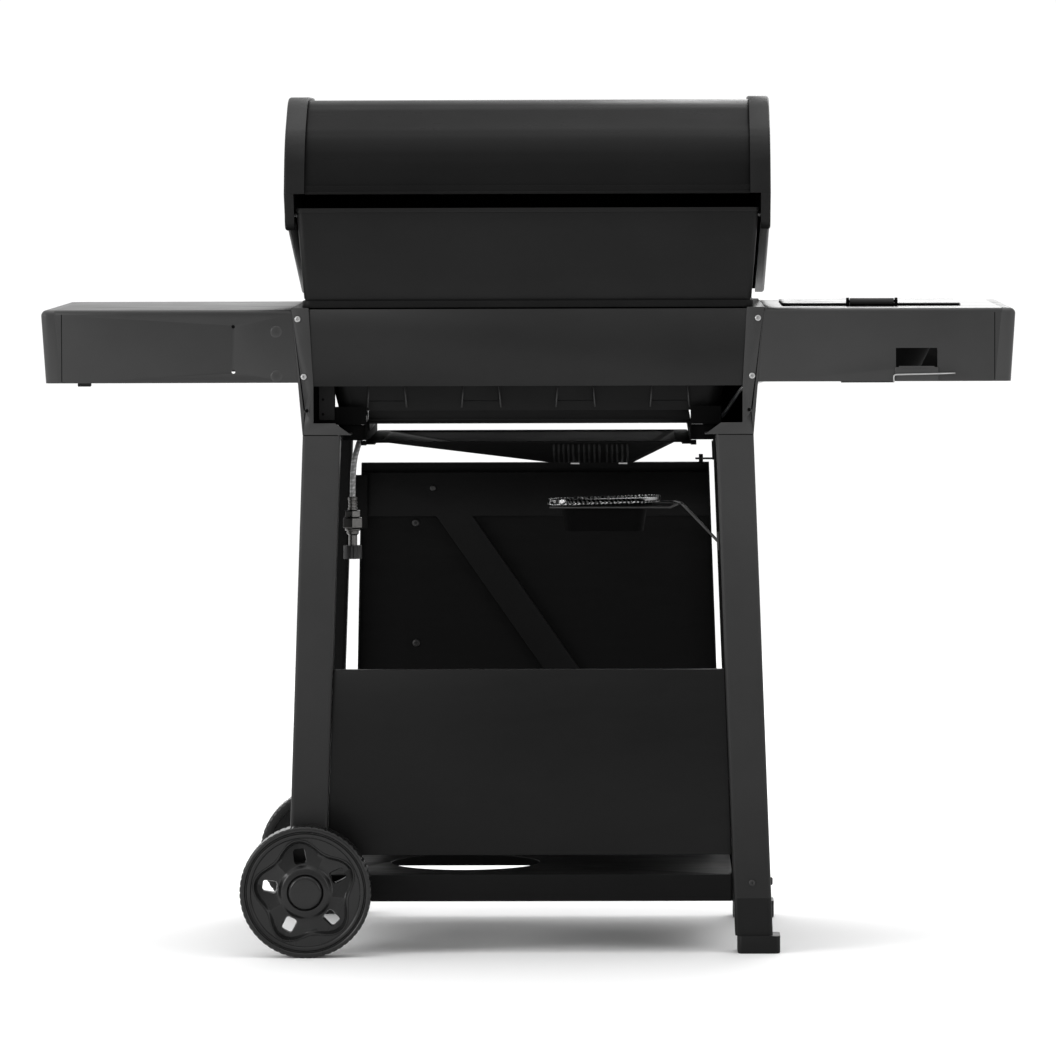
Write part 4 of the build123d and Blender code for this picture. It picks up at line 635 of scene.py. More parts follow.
# ---------------------------------------------------------------- fasteners
def cross_head(mesher, seat, direction, radius):
    """A pan head with a cross recess, seated at a point."""
    direction = Vector(direction).normalized()
    across, up = basis(direction)
    height, segments = radius * 0.5, 24
    rings = []
    for share, lift in ((1.0, 0.0), (1.0, 0.35), (0.93, 0.7), (0.8, 0.9), (0.66, 1.0)):
        rings.append(circle(seat + direction * (height * lift), across, up, radius * share, segments, 0.5))
    placed = mesher.loft(rings, close_start=True, close_end=False)
    arm, waist, arm_half_turn = 0.52 * radius, 0.195 * radius, 16
    outline = []
    for k, spoke in enumerate(circle(Vector(), across, up, 1.0, segments, 0.5)):
        quarter = (360 * (k + 0.5) / segments + 45) % 90 - 45
        reach = arm if abs(quarter) < arm_half_turn else waist
        outline.append(seat + spoke * reach + direction * (height * 1.02))
    mouth = mesher.ring(outline)
    mesher.bridge(placed[-1], mouth)
    floor = mesher.ring([p * 0.55 + seat * 0.45 - direction * (height * 0.35) for p in outline])
    mesher.bridge(mouth, floor)
    mesher.cap(floor)


def screw_group(name, node, material, highest=math.inf):
    """Detailed heads in place of a CAD node of plain ones, up to a height."""
    mesher = Mesher()
    for group in islands(node):
        low, high = span(group)
        if low.z > highest:
            continue
        middle, size = (low + high) / 2, high - low
        axis = 1 if size.y < size.x else 0
        direction, seat = Vector(), middle.copy()
        direction[axis] = math.copysign(1, middle[axis])
        seat[axis] = low[axis] if middle[axis] > 0 else high[axis]
        cross_head(mesher, seat, direction, max(size.z, size[1 - axis]) / 2)
    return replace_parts(mesher.piece(name, material, smooth=False), node)


SHOWN_BOLTS_TOP = 0.12  # the photograph shows none of the cart's bolts above this
screw_group("cart_bolt_heads", "cart_bolts", BLACK_ZINC, SHOWN_BOLTS_TOP)
screw_group("console_screw_heads", "console_screws", ZINC)


# ---------------------------------------------------------------- grease cup liner
def foil_liner():
    """A pressed foil tray: fluted walls and a crimped, curled rim."""
    low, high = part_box("foil_liner")
    centre = middle_of("foil_liner")
    cup_low, cup_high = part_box("grease_cup")
    rim_half = (high.x - low.x) / 2
    floor_half = (cup_high.x - cup_low.x) / 2 - 16 * MM
    shoulder_z = cup_high.z + 0.4 * MM
    levels = (
        (floor_half - 8 * MM, low.z + 0.2 * MM, 0.0),
        (floor_half, low.z + 0.6 * MM, 0.2),
        (floor_half + 2.2 * MM, low.z + 16 * MM, 1.0),
        (floor_half + 4.6 * MM, shoulder_z - 3 * MM, 0.8),
        (floor_half + 6.5 * MM, shoulder_z, 0.2),
        (rim_half - 9 * MM, shoulder_z + 0.4 * MM, 0.4),
        (rim_half - 3.0 * MM, shoulder_z + 0.7 * MM, 1.6),
        (rim_half - 1.4 * MM, shoulder_z + 1.6 * MM, 3.2),
        (rim_half - 1.6 * MM, shoulder_z + 2.6 * MM, 3.2),
        (rim_half - 3.0 * MM, shoulder_z + 3.3 * MM, 1.8),
    )
    waves, flute = 120, 0.9 * MM
    rings = []
    for half, z, share in levels:
        corner = 14 * MM + (half - floor_half) * 0.5
        outline = dense(rounded_rectangle(half, half, corner, 6, centre, z), 4 * waves)
        ring = []
        for k, point in enumerate(outline):
            wave = math.sin(2 * math.pi * waves * k / len(outline))
            outward = Vector((point.x - centre[0], point.y - centre[1], 0)).normalized()
            lean = (centre[0] - point.x) * 0.03 if z > shoulder_z else 0.0
            lift = wave * share * flute * 0.4 + lean
            ring.append(point + outward * (wave * share * flute * 0.5) + Z_AXIS * lift)
        rings.append(ring)
    mesher = Mesher()
    mesher.loft(rings, close_start=True, close_end=False)
    piece = mesher.piece("crimped_foil_liner", FOIL, "cup")
    piece.modifiers.new("gauge", "SOLIDIFY").thickness = 0.25 * MM
    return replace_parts(piece, "foil_liner")


def dense(points, count):
    """A closed outline resampled to count even points."""
    lengths = [0.0]
    closed = points + [points[0]]
    for a, b in zip(closed, closed[1:]):
        lengths.append(lengths[-1] + (b - a).length)
    result, j = [], 0
    for k in range(count):
        want = lengths[-1] * k / count
        while lengths[j + 1] < want:
            j += 1
        share = (want - lengths[j]) / max(lengths[j + 1] - lengths[j], 1e-9)
        result.append(closed[j].lerp(closed[j + 1], share))
    return result


foil_liner()


# ---------------------------------------------------------------- gas hose
HOSE_DIAMETER, HOSE_LENGTH = 7.6 * MM, 0.502
HOSE_ROUTE = [
    (0.244, -0.219, 0.790),
    (0.244, -0.219, 0.752),
    (0.233, -0.190, 0.712),
    (0.230, -0.130, 0.706),
    (0.231, -0.070, 0.700),
    (0.229, -0.010, 0.699),
    (0.230, 0.050, 0.702),
    (0.229, 0.105, 0.703),
    (0.231, 0.150, 0.694),
    (0.240, 0.170, 0.662),
    (0.240, 0.170, 0.618),
]


def gas_hose():
    """The hose from the manifold's end, under the firebox and down to the fittings that hang on it."""
    curve = bpy.data.curves.new("gas_line", "CURVE")
    curve.dimensions = "3D"
    spline = curve.splines.new("NURBS")
    spline.points.add(len(HOSE_ROUTE) - 1)
    for point, place in zip(spline.points, HOSE_ROUTE):
        point.co = (*place, 1)
    spline.order_u = 3
    spline.use_endpoint_u = True
    spline.resolution_u = 12
    curve.bevel_depth = HOSE_DIAMETER / 2
    curve.bevel_resolution = 5
    hose = bpy.data.objects.new("gas_line", curve)
    bpy.context.scene.collection.objects.link(hose)
    curve.materials.append(HOSE_COVER)
    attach(hose, "cart")
    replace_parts(hose, "gas_hose")
    hose_fittings()


def hose_fittings():
    """The crimped ferrule, hexagons and stem between the hose and the coupling nut."""
    middle, top_z = middle_of("regulator"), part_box("regulator")[1].z
    top = Vector((middle.x, middle.y, top_z))
    mesher = Mesher()
    ferrule = [(5.2, 0), (6.4, -0.6), (6.4, -4)]
    for start in (-4, -8, -12):
        ferrule += [(5.6, start - 0.8), (5.6, start - 2.2), (6.4, start - 3)]
    mesher.lathe(top, Z_AXIS, ferrule + [(6.4, -17.4), (5.4, -18)], 28)
    edge = 0.9
    for radius, upper, lower, sides in ((11.4, -18.2, -27.5, 6), (14.6, -28, -42, 6), (10.5, -42.4, -46, 28)):
        inner = radius - edge
        collar = [(inner, upper), (radius, upper - edge), (radius, lower + edge), (inner, lower)]
        mesher.lathe(top, Z_AXIS, collar, sides)
    mesher.lathe(top, Z_AXIS, [(8.2, -46), (8.2, -50), (5.95, -52), (5.95, -69), (7.9, -69), (7.9, -72)], 28)
    piece = mesher.piece("hose_fittings", FITTING_METAL)
    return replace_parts(round_edges(piece, 0.3 * MM), "regulator")


gas_hose()


# ---------------------------------------------------------------- hood and firebox trim
def hood_hem():
    """The rolled edge along the back of the hood's sheet."""
    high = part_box("hood_skin")[1]
    z = min(v.co.z for v in NODES["hood_skin"].data.vertices if v.co.y > high.y - 1.5 * MM)
    half = high.x - 15.5 * MM
    mesher = Mesher()
    y = high.y - 1.4 * MM
    mesher.tube([(-half, y, z + 1.2 * MM), (half, y, z + 1.2 * MM)], 1.9 * MM, 14)
    mesher.block((-half, y - 1.2 * MM, z + 1 * MM), (half, y - 0.2 * MM, z + 11 * MM))
    round_edges(mesher.piece("hood_hem", HOOD_ENAMEL, "hood"), 0.3 * MM)


def firebox_hem():
    """The folded band round the top of the upper firebox wall."""
    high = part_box("firebox_upper")[1]
    half = max(v.co.x for v in NODES["firebox_upper"].data.vertices if v.co.z > high.z - 0.5 * MM)
    front, corner = 0.15, 8 * MM
    path = [Vector((-half, front, 0)), Vector((-half, high.y - corner, 0))]
    for k in range(7):
        turn = math.radians(180 - 15 * k)
        middle = Vector((-half + corner, high.y - corner, 0))
        path.append(middle + Vector((math.cos(turn), math.sin(turn), 0)) * corner)
    path += [Vector((-p.x, p.y, 0)) for p in reversed(path)]
    proud, thick, height = 0.9 * MM, 2.6 * MM, 5.6 * MM
    mesher = Mesher()
    rings = []
    for k, point in enumerate(path):
        before, after = path[max(k - 1, 0)], path[min(k + 1, len(path) - 1)]
        along = (after - before).normalized()
        outward = Vector((-along.y, along.x, 0))
        section = []
        for out, lift in ((proud, -height), (proud, 0), (proud - thick, 0.3 * MM), (proud - thick, -2 * MM)):
            section.append(point + outward * out + Z_AXIS * (high.z + 0.3 * MM + lift))
        rings.append(section)
    mesher.loft(rings)
    mesher.plate("firebox_hem", FIREBOX_PAINT, 0.5 * MM)


hood_hem()
firebox_hem()


# ---------------------------------------------------------------- wheels
WHEEL_R, LOBES, LOBE_TURN = 89.0, 5, math.radians(9)


def star_radius(turn):
    """The star's outline on the wheel's face: a soft lobe at each window, a shallow bite between."""
    return 63.5 + 6.5 * math.cos(LOBES * (turn - LOBE_TURN))


def wheel_mesh():
    """A moulded wheel about its centre, its outer face towards +Y: tread, rim, star dish and windows."""
    segments, treads, outer_y = 360, 60, 22.0
    rings = []

    def ring(radius_at, depth_at):
        row = []
        for k in range(segments):
            turn = 2 * math.pi * k / segments
            radius, depth = radius_at(turn), depth_at(turn)
            row.append(Vector((radius * math.cos(turn), outer_y - depth, radius * math.sin(turn))) * MM)
        rings.append(row)

    def lobe_share(turn):
        """One on a lobe's middle line, falling evenly to nothing between two lobes."""
        half_pitch = 180 / LOBES
        return abs(math.degrees(turn - LOBE_TURN) % (2 * half_pitch) - half_pitch) / half_pitch

    def plain(*pairs):
        for radius, depth in pairs:
            ring(lambda turn: radius, lambda turn: depth)

    def tread(depth):
        ring(lambda turn: WHEEL_R - max(0.0, math.cos(treads * turn)) ** 3, lambda turn: depth)

    plain((5.2, 12.0), (22.6, 12.0), (23.4, 2.4), (25.0, 1.0), (31.0, 1.4), (33.0, 2.6))
    ring(lambda turn: 36.0, lambda turn: 5.0 + 4.0 * lobe_share(turn))
    for share in (0.0, 0.25, 0.5, 0.75, 1.0):
        ring(
            lambda turn: 38.0 + (star_radius(turn) - 4.2 - 38.0) * share,
            lambda turn: 5.4 + (5.0 + 2.0 * share) * lobe_share(turn) + 1.5 * share,
        )
    for inset, share in ((2.9, 0.8), (1.2, 0.25), (0.4, 0.05)):
        ring(
            lambda turn: star_radius(turn) - inset,
            lambda turn: 4.2 + share * (2.9 + 6.4 * lobe_share(turn)),
        )
    ring(lambda turn: star_radius(turn) + 0.4, lambda turn: 3.7)
    ring(lambda turn: star_radius(turn) + 1.6, lambda turn: 3.6)
    ring(lambda turn: star_radius(turn) + 2.4, lambda turn: 4.5)
    ring(lambda turn: max(star_radius(turn) + 3.2, 70.0), lambda turn: 4.6)
    plain((73.4, 4.6), (74.2, 3.2), (75.6, 2.0), (78.6, 1.6), (79.8, 2.4), (80.4, 3.8), (81.2, 3.8))
    plain((82.0, 2.2), (83.6, 0.6), (85.4, 0.2), (87.2, 1.0))
    for depth in (2.6, 6.0, 21.0, 23.0, 38.0, 41.4):
        tread(depth)
    plain((86.5, 43.6), (83.0, 44.0), (76.5, 43.4), (75.5, 26.0), (30.0, 24.0), (24.0, 30.0))
    plain((22.0, 42.0), (9.0, 42.0), (5.2, 41.0))
    mesher = Mesher()
    placed = mesher.loft(rings, close_start=False, close_end=False)
    mesher.bridge(placed[-1], placed[0])
    blank, cutter = mesher.solid("wheel_blank"), window_cutter()
    cut = blank.modifiers.new("windows", "BOOLEAN")
    cut.operation, cut.object, cut.solver = "DIFFERENCE", cutter, "EXACT"
    bpy.context.view_layer.update()
    finished = bpy.data.meshes.new_from_object(blank.evaluated_get(bpy.context.evaluated_depsgraph_get()))
    for spare in (blank, cutter):
        bpy.data.objects.remove(spare)
    return finished


def window_cutter():
    """Five rounded bars, one through each lobe."""
    mesher = Mesher()
    for k in range(LOBES):
        turn = LOBE_TURN + 2 * math.pi * k / LOBES
        spoke = Vector((math.cos(turn), 0, math.sin(turn)))
        side = Vector((-math.sin(turn), 0, math.cos(turn)))
        rings = []
        for y, grow in ((-30, 0.0), (9.0, 0.0), (12.0, 1.2), (26.0, 1.4)):
            outline = rounded_rectangle(9.6 + grow, 7.4 + grow, 3.6 + grow)
            rings.append([(spoke * (49.5 + p.x) + side * p.y + Y_AXIS * y) * MM for p in outline])
        mesher.loft(rings)
    return mesher.solid("window_cutter")


def wheels():
    """The two wheels in place of the plain ones, each with its face outward."""
    blank = wheel_mesh()
    for end in ("rear", "front"):
        centre = Vector(JOINTS[f"{end}_wheel_spin"]["pos_m"])
        data = blank.copy()
        turn = Matrix.Identity(4) if centre.y > 0 else Matrix.Rotation(math.pi, 4, "Z")
        data.transform(Matrix.Translation(centre) @ turn)
        piece = adopt(f"moulded_wheel_{end}", data, WHEEL_PLASTIC, f"{end}_wheel")
        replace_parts(round_edges(piece, 0.5 * MM, angle=math.radians(40)), f"wheel_{end}")


wheels()


# ---------------------------------------------------------------- controls
KNOB_HEIGHT = 29.0 * MM
POINTER = moulded_plastic("pointer_white", 0.6, 0.4)


def knob_trim(name, lift):
    """A pointer line on the knob, and a plated ring with raised marks on the panel round it."""
    joint = JOINTS[f"{name}_turn"]
    axis, seat = Vector(joint["axis"]).normalized(), Vector(joint["pos_m"])
    up = axis.cross(X_AXIS).normalized()
    pointer = Mesher()
    line = ((3, -1.1), (17.5, -1.1), (17.5, 1.1), (3, 1.1))
    pointer.prism(seat + axis * (KNOB_HEIGHT - lift), up, X_AXIS, line, axis * 0.5 * MM)
    pointer.plate(f"{name}_pointer", POINTER, 0.25 * MM, joint["child"])
    bezel = Mesher()
    ring = ((27.2, 0.0), (27.2, 0.9), (27.8, 1.3), (29.4, 1.3), (30.2, 0.8), (30.6, 0.0))
    bezel.lathe(seat + axis * (2.0 * MM - lift), axis, ring, 64, closed=False)
    piece = bezel.piece(f"{name}_bezel", CHROME)
    piece.modifiers.new("gauge", "SOLIDIFY").thickness = 0.2 * MM
    marks = Mesher()
    for k in range(9):
        turn = math.radians(90 + 22.5 * k)
        spot = seat + (up * math.sin(turn) + X_AXIS * math.cos(turn)) * (35.5 * MM)
        size = 1.5 if k % 4 == 0 else 1.0
        marks.lathe(spot, axis, ((size, 0), (size, 0.25), (size * 0.7, 0.45)), 14)
    marks.piece(f"{name}_marks", POINTER)


for number in range(1, 5):
    knob_trim(f"burner_knob_{number}", 0.0)
knob_trim("side_burner_knob", 2.0 * MM)


def gauge_face():
    """The thermometer's dial, tick marks, needle and cover glass."""
    node = NODES["hood_gauge"].data
    normal = sum((p.normal * p.area for p in node.polygons if p.normal.y < -0.9), Vector()).normalized()
    rim = max(v.co.dot(normal) for v in node.vertices)
    middle = middle_of("hood_gauge")
    centre = middle + normal * (rim - middle.dot(normal))
    up = normal.cross(X_AXIS).normalized()
    face, ticks, needle, glass = Mesher(), Mesher(), Mesher(), Mesher()
    face.lathe(centre - normal * 2.9 * MM, normal, ((26.5, 0), (26.5, 0.3), (0.4, 0.35)), 48)
    face.piece("gauge_dial", POINTER, "hood")
    sweep_from, sweep, count, tip, reading = 225.0, -270.0, 31, 24.5, 215
    for k in range(count):
        turn = math.radians(sweep_from + sweep * k / (count - 1))
        spoke = X_AXIS * math.cos(turn) + up * math.sin(turn)
        inner, half = (19.0, 0.45) if k % 5 == 0 else (21.5, 0.22)
        corners = ((inner, -half), (tip, -half), (tip, half), (inner, half))
        ticks.prism(centre - normal * 2.5 * MM, spoke, normal.cross(spoke), corners, normal * 0.15 * MM)
    ticks.piece("gauge_ticks", KNOB_PLASTIC, "hood", smooth=False)
    turn = math.radians(reading)
    spoke = X_AXIS * math.cos(turn) + up * math.sin(turn)
    corners = ((-6, -0.9), (19, -0.25), (19, 0.25), (-6, 0.9))
    needle.prism(centre - normal * 2.1 * MM, spoke, normal.cross(spoke), corners, normal * 0.4 * MM)
    needle.lathe(centre - normal * 2.4 * MM, normal, ((2.6, 0), (2.4, 1.0), (1.2, 1.2)), 20)
    needle.piece("gauge_needle", BLACK_ZINC, "hood")
    glass.lathe(centre, normal, ((26.8, -0.6), (26.8, -0.1), (22, 0.5), (14, 0.9), (0.5, 1.1)), 48)
    glass.piece("gauge_glass", GLASS, "hood")


gauge_face()


# ---------------------------------------------------------------- shelf trim
def shelf_trim():
    """The hose bracket and spring wire at the left shelf's slot, and the small stops and dimples."""
    low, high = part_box("shelf_left")
    rear, right_low = high.y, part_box("shelf_right")[0]
    slot_left, slot_right, slot_low = -0.553, -0.497, 0.795
    bracket, wire, stop = Mesher(), Mesher(), Mesher()
    for inset, bottom, back, top in (
        (-1 * MM, low.z + 0.5 * MM, 2 * MM, slot_low),
        (4 * MM, slot_low - 1 * MM, 3.2 * MM, slot_low + 1.6 * MM),
    ):
        near = (slot_left + inset, rear + 0.1 * MM, bottom)
        bracket.block(near, (slot_right - inset, rear + back, top))
    bracket.plate("hose_bracket", GREY_PLASTIC, 0.7 * MM)
    route = [(-0.494, -1), (-0.494, 9), (-0.545, 10), (-0.577, 11)]
    wire.tube(bent([(x, rear + 4 * MM, low.z + rise * MM) for x, rise in route], 4 * MM), 1.1 * MM)
    wire.piece("spring_wire", ZINC)
    near = (0.591, rear - 12 * MM, right_low.z - 4.5 * MM)
    stop.block(near, (0.609, rear - 1 * MM, right_low.z + 0.5 * MM))
    stop.plate("shelf_stop", BLACK_PLASTIC, 1 * MM)
    for number, z in ((1, 0.845), (2, 0.785)):
        dimple = Mesher()
        profile = ((8, 0), (8, 0.12), (6, 0.35), (0.3, 0.4))
        dimple.lathe((0.340, rear - 0.1 * MM, z), Y_AXIS, profile)
        dimple.piece(f"weld_dimple_{number}", SHELF_PAINT)


shelf_trim()


# ---------------------------------------------------------------- door
def door_fixings():
    """The heads of the screws that hold the door's handle and brace, on the door's back."""
    skin_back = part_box("door_panel")[0].y + 1.5 * MM
    handle_low, handle_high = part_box("door_handle")
    x, brace_back = middle_of("door_handle").x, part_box("door_brace")[1].y
    mesher = Mesher()
    for z in (handle_low.z + 6 * MM, handle_high.z - 6 * MM):
        cross_head(mesher, Vector((x, skin_back, z)), Y_AXIS, 5.5 * MM)
    for x, z in ((0.142, 0.610), (-0.196, 0.150)):
        cross_head(mesher, Vector((x, brace_back, z)), Y_AXIS, 4.2 * MM)
    mesher.piece("door_screws", BLACK_ZINC, "door", smooth=False)


door_fixings()


# ---------------------------------------------------------------- side lid
KNUCKLE_HALF = 30 * MM


def low_dome_lid():
    """The side burner's lid: a pressed sheet with a low dome, a rolled rim, a lip and a hinge leaf."""
    low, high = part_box("side_burner_lid")
    pivot = Vector(JOINTS["side_lid_hinge"]["pos_m"])
    half = (high.x - low.x) / 2
    front_half = half - 3 * MM
    rim_z = low.z + 0.5 * MM
    mesher = Mesher()

    def skin(*levels, **ends):
        """Rings of a sheet, each so many millimetres in from the lid's edge and up from its rim."""
        rings = []
        for inset, rise in levels:
            halves, z = (half - inset * MM, front_half - inset * MM), rim_z + rise * MM
            rings.append(rounded_rectangle(*halves, max(12 - inset, 3) * MM, 6, (pivot.x, 0.0), z))
        return mesher.loft(rings, **ends)

    rim = ((0.6, 0.0), (0.0, 0.5), (0.3, 1.3), (1.6, 1.8))
    dome = ((6, 1.9), (9, 1.5), (24, 2.2), (60, 3.4), (95, 3.9))
    top = skin(*rim, *dome, close_start=False)
    under = skin((95, 3.1), (60, 2.6), (9, 0.8), (3, 0.4), close_end=False)
    mesher.bridge(under[-1], top[0])
    leaf_y = (110 * MM, pivot.y - 1 * MM)
    for x, y_range, bottom, rise in (
        (KNUCKLE_HALF, leaf_y, 0.6 * MM, 3.2 * MM),
        (35 * MM, (low.y, low.y + 11 * MM), 0.0, 1.8 * MM),
    ):
        mesher.block((pivot.x - x, y_range[0], rim_z + bottom), (pivot.x + x, y_range[1], rim_z + rise))
    barrel = [(2.2, 0.0), (4.1, 0.0), (4.5, 0.5), (4.5, 59.5), (4.1, 60.0), (2.2, 60.0)]
    placed = mesher.lathe(pivot - X_AXIS * KNUCKLE_HALF, X_AXIS, barrel, 28, closed=False)
    mesher.bridge(placed[-1], placed[0])
    piece = mesher.piece("low_dome_lid", LID_PAINT, "side_lid")
    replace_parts(round_edges(piece, 0.4 * MM, angle=math.radians(50)), "side_burner_lid")


low_dome_lid()


# ---------------------------------------------------------------- inner plates, ribs and seams
SIDES = {"right": 1, "left": -1}


def spread_block(mesher, side, near, far, y_range, z_range):
    """A block whose X runs from near to far away from the middle, on one side of the cart."""
    x_low, x_high = sorted((side * near, side * far))
    mesher.block((x_low, y_range[0], z_range[0]), (x_high, y_range[1], z_range[1]))


def inner_plates():
    """Dark plates inside the corners of the console, and the lugs that carry the rails."""
    wing_low, wing_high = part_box("console_side_right")
    rail_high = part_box("tray_rails")[1]
    near, far = wing_low.x + 23 * MM, wing_low.x + 61 * MM
    # on the left the plate stands further in, behind the side burner's gas tube
    for name, start, inset, bottom in (("right", near, 39, 4), ("left", near - 3 * MM, 172, -6)):
        side, back, plate, lug = SIDES[name], wing_high.y - inset * MM, Mesher(), Mesher()
        heights = (wing_low.z + bottom * MM, wing_low.z + 66 * MM)
        spread_block(plate, side, start, far, (back, back + 2 * MM), heights)
        plate.plate(f"corner_baffle_{name}", MATT_BLACK, 0.4 * MM)
        root, rear = rail_high.x - 1 * MM, rail_high.y
        for reach, y_from, y_to, z_from, z_to in (
            (32, -9, -6, -24, -3),
            (42, -2, 0, -2.6, 22),
            (8, -9, -6, -31, -24.4),
        ):
            y_range = (rear + y_from * MM, rear + y_to * MM)
            z_range = (rail_high.z + z_from * MM, rail_high.z + z_to * MM)
            spread_block(lug, side, root, root + reach * MM, y_range, z_range)
        lug.plate(f"rail_lug_{name}", MATT_BLACK, 0.6 * MM)
    liner, holes = Mesher(), Mesher()
    face = wing_high.y - 32.8 * MM
    heights = (wing_low.z + 19 * MM, wing_low.z + 65 * MM)
    spread_block(liner, 1, near + 1 * MM, near + 22 * MM, (face - 1.2 * MM, face), heights)
    liner.plate("corner_liner", CAP_PAINT, 0.3 * MM)
    # painted shade: black discs stand for the liner's open holes
    for rise in (27, 47):
        spot = Vector((near + 16.5 * MM, face, wing_low.z + rise * MM))
        holes.lathe(spot, Y_AXIS, ((1.9, 0.0), (1.7, 0.15)), 20)
    holes.piece("corner_liner_holes", MATT_BLACK, smooth=False)


def wing_details():
    """The open rivet holes of the console's rear flanges, drawn as black discs of painted shade, and black
    strips of painted shadow in the joints on top of the legs.
    """
    wing_low, wing_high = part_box("console_side_right")
    leg_low, leg_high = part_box("leg_rear_right")
    for name, side in SIDES.items():
        hole, joint = Mesher(), Mesher()
        # painted shade: a black disc stands for the open rivet hole
        spot = Vector((side * (wing_low.x + 60 * MM), wing_high.y - 1.2 * MM, wing_low.z + 33 * MM))
        hole.lathe(spot, Y_AXIS, ((2.45, 0.0), (2.3, 0.6)), 20)
        hole.piece(f"wing_hole_{name}", MATT_BLACK, smooth=False)
        # painted shadow: a black strip in the gap at the top of the leg
        y_range = (leg_high.y - 0.4 * MM, leg_high.y + 0.2 * MM)
        z_range = (leg_high.z - 0.9 * MM, leg_high.z + 0.1 * MM)
        spread_block(joint, side, leg_low.x + 3 * MM, leg_low.x + 50 * MM, y_range, z_range)
        joint.piece(f"leg_joint_shadow_{name}", MATT_BLACK, smooth=False)


def rib(mesher, upper, lower, radius, segments):
    """A straight rib with a joint at its middle."""
    upper, lower = Vector(upper), Vector(lower)
    mesher.tube([upper, (upper + lower) / 2, lower], radius, segments)


def tray_ribs():
    """Stiffening ribs down the rear slope of the drip tray, and the tabs at its outlet."""
    low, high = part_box("grease_tray")
    outlet_y = (low.y + high.y) / 2 + 59 * MM
    ribs, tabs = Mesher(), Mesher()
    for first, last in ((-34, -60), (-68, -96), (-106, -134)):
        for k in range(5):
            x = (first + (last - first) * k / 4) * MM
            upper = (x, high.y - 30.6 * MM, high.z - 5.2 * MM)
            rib(ribs, upper, (x, outlet_y + 3 * MM, low.z + 1.2 * MM), 1.5 * MM, 10)
    ribs.piece("tray_ribs", TRIM_PAINT, "tray")
    for x in (-62 * MM, -128 * MM):
        near = (x - 6 * MM, outlet_y - 2 * MM, low.z - 2.4 * MM)
        tabs.block(near, (x + 6 * MM, outlet_y + 1 * MM, low.z - 0.2 * MM))
    tabs.plate("tray_tabs", ZINC, 0.4 * MM, "tray")


def tub_edges():
    """The raised slanting edges of the pressed panels in the tub's rear wall, one panel for each burner, in
    the lighter console paint as painted highlight.
    """
    low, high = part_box("firebox_tub")
    ribs = Mesher()
    for number in range(1, 5):
        middle = JOINTS[f"burner_knob_{number}_turn"]["pos_m"][0]
        for side in SIDES.values():
            upper = (middle + side * 24 * MM, high.y - 37.0 * MM, low.z + 64 * MM)
            lower = (middle + side * 26.5 * MM, high.y - 40.6 * MM, low.z + 34 * MM)
            rib(ribs, upper, lower, 1.1 * MM, 8)
    # painted highlight: the edges take the lighter console paint rather than the tub's own
    ribs.piece("tub_pressed_edge_highlights", WING_PAINT)


def shelf_seams():
    """A thin black strip painted as the shadow in the gap between each shelf and its end cap, and the lip
    under the burner's shelf.
    """
    for name, side in SIDES.items():
        low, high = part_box(f"shelf_cap_{name}")
        edge, seam = min(abs(low.x), abs(high.x)), Mesher()
        y_range = (high.y - 0.3 * MM, high.y + 0.15 * MM)
        # painted shadow: a black strip where the gap at the end cap lies in shade
        spread_block(seam, side, edge - 1.2 * MM, edge - 0.2 * MM, y_range, (low.z + 2 * MM, high.z - 6 * MM))
        seam.piece(f"shelf_seam_shadow_{name}", MATT_BLACK, smooth=False)
    lip = Mesher()
    low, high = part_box("shelf_left")
    near = (low.x + 145 * MM, high.y - 16 * MM, low.z - 1.8 * MM)
    lip.block(near, (low.x + 217 * MM, high.y - 2 * MM, low.z - 0.1 * MM))
    lip.plate("apron_lip", TIP_PLASTIC, 0.5 * MM)


def side_bolt():
    """The bolt in the outer side of the leg above the rear foot."""
    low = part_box("leg_rear_left")[0]
    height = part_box("cart_bolts")[0].z + 4.5 * MM
    leg_lean = math.radians(1.9)
    mesher = Mesher()
    seat = Vector((low.x + (height - low.z) * math.tan(leg_lean), middle_of("leg_rear_left").y, height))
    cross_head(mesher, seat, -X_AXIS, 5.5 * MM)
    mesher.piece("leg_side_bolt", BLACK_ZINC, smooth=False)


inner_plates()
wing_details()
tray_ribs()
tub_edges()
shelf_seams()
side_bolt()


# ---------------------------------------------------------------- stage, light and camera
SURROUND, OVERHEAD_GAIN, SIDE_GAIN, REAR_DIMMING = 1.04, 0.35, 0.18, 0.55
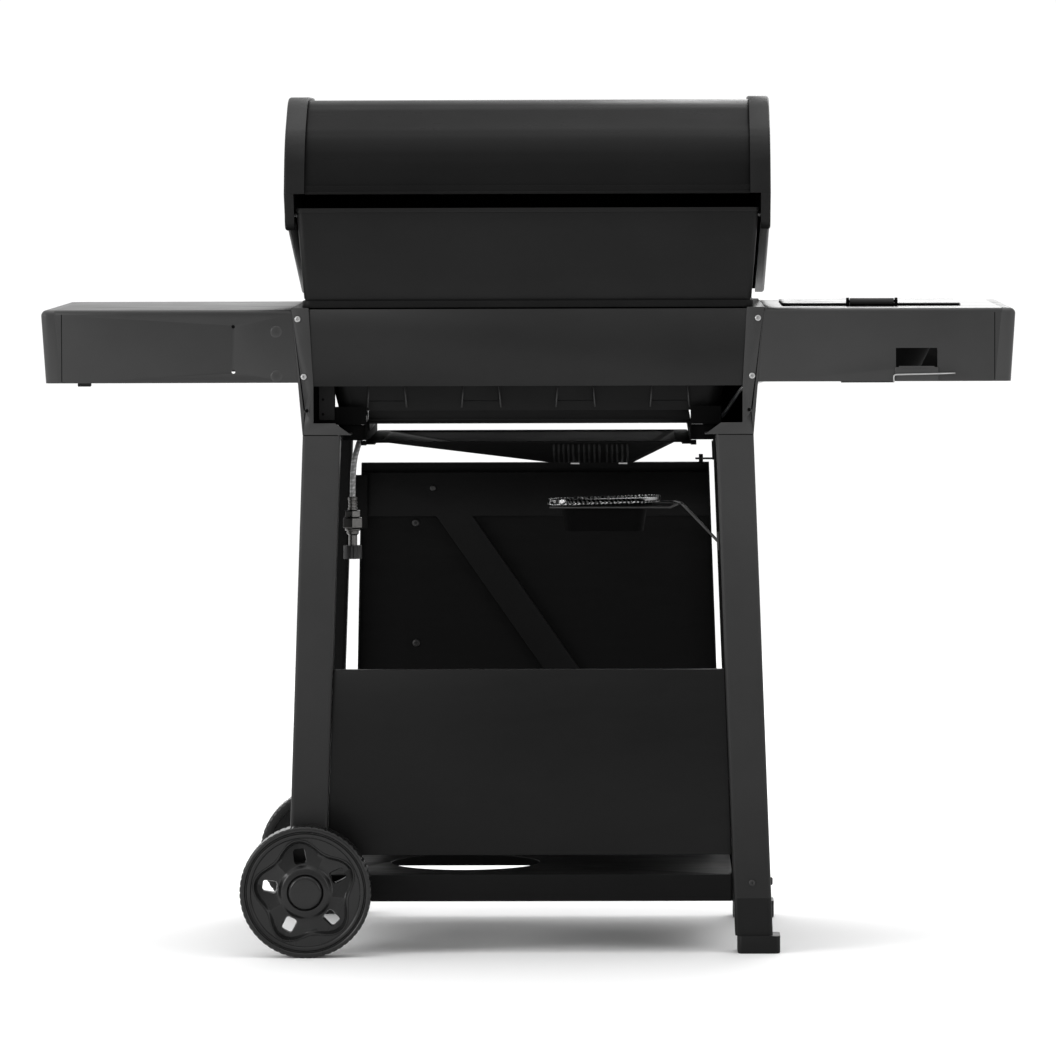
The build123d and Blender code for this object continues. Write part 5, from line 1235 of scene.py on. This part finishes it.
# each softbox's place, the point that it looks at, its size and its power
SOFTBOXES = {
    "softbox_above": ((0, -0.4, 3.6), (0, 0, 0.4), 3.0, 40),
    "softbox_left": ((4.2, 3.0, 2.2), (0.2, 0, 0.8), 2.2, 90),
    "softbox_right": ((-4.2, 3.0, 1.8), (-0.2, 0, 0.8), 2.0, 25),
    "softbox_front": ((-1.5, -4.5, 2.6), (0, 0, 0.7), 2.6, 60),
}
CAMERA_PLACE = Vector((-0.144, 9.532, 1.116))
CAMERA_TARGET = Vector((0.0004, 0.232, 0.5787))
CAMERA_ROLL = math.radians(-0.19)
LENS, SENSOR_WIDTH = 234.8, 36


def studio():
    """A plain pale floor, a soft even surround, and four softboxes."""
    bpy.ops.mesh.primitive_plane_add(size=80, location=(0, 0, 0))
    floor = bpy.context.object
    floor.name = "floor"
    floor.data.materials.append(pale_floor("pale_floor"))
    surround_light()
    for name, (place, target, size, power) in SOFTBOXES.items():
        light = bpy.data.lights.new(name, "AREA")
        light.size, light.energy = size, power
        stand(name, light, Vector(place), Vector(target))


def stand(name, data, place, target, roll=0.0):
    """A light or camera that looks from a place to a target."""
    holder = bpy.data.objects.new(name, data)
    holder.location = place
    turn = (target - place).to_track_quat("-Z", "Y").to_matrix()
    holder.rotation_euler = (turn @ Matrix.Rotation(roll, 3, "Z")).to_euler()
    bpy.context.scene.collection.objects.link(holder)
    return holder


def surround_light():
    """A white surround, brighter overhead and dimmer on the side that the hood's back faces."""
    world = bpy.data.worlds.new("surround")
    bpy.context.scene.world = world
    world.use_nodes = True
    sky = Tree(world.node_tree)
    looks = sky.split(sky.node("ShaderNodeTexCoord").outputs["Generated"])
    overhead = sky.math("MULTIPLY", sky.math("MAXIMUM", looks["Z"], 0.0), OVERHEAD_GAIN)
    sideways = sky.math("MULTIPLY", looks["X"], SIDE_GAIN)
    rear = sky.math("MULTIPLY", sky.math("MAXIMUM", looks["Y"], 0.0), REAR_DIMMING)
    total = sky.math("ADD", sky.math("ADD", overhead, sideways), SURROUND)
    background = world.node_tree.nodes["Background"].inputs
    sky.feed(background["Color"], (1, 1, 1, 1))
    sky.feed(background["Strength"], sky.math("SUBTRACT", total, rear))


def photographer():
    """The camera: a long lens a little above the grill, behind it and nearly level."""
    data = bpy.data.cameras.new("camera")
    data.lens, data.sensor_width, data.clip_end = LENS, SENSOR_WIDTH, 200
    scene = bpy.context.scene
    scene.camera = stand("camera", data, CAMERA_PLACE, CAMERA_TARGET, CAMERA_ROLL)
    scene.view_settings.view_transform = "Standard"
    scene.view_settings.look = "None"


studio()
photographer()
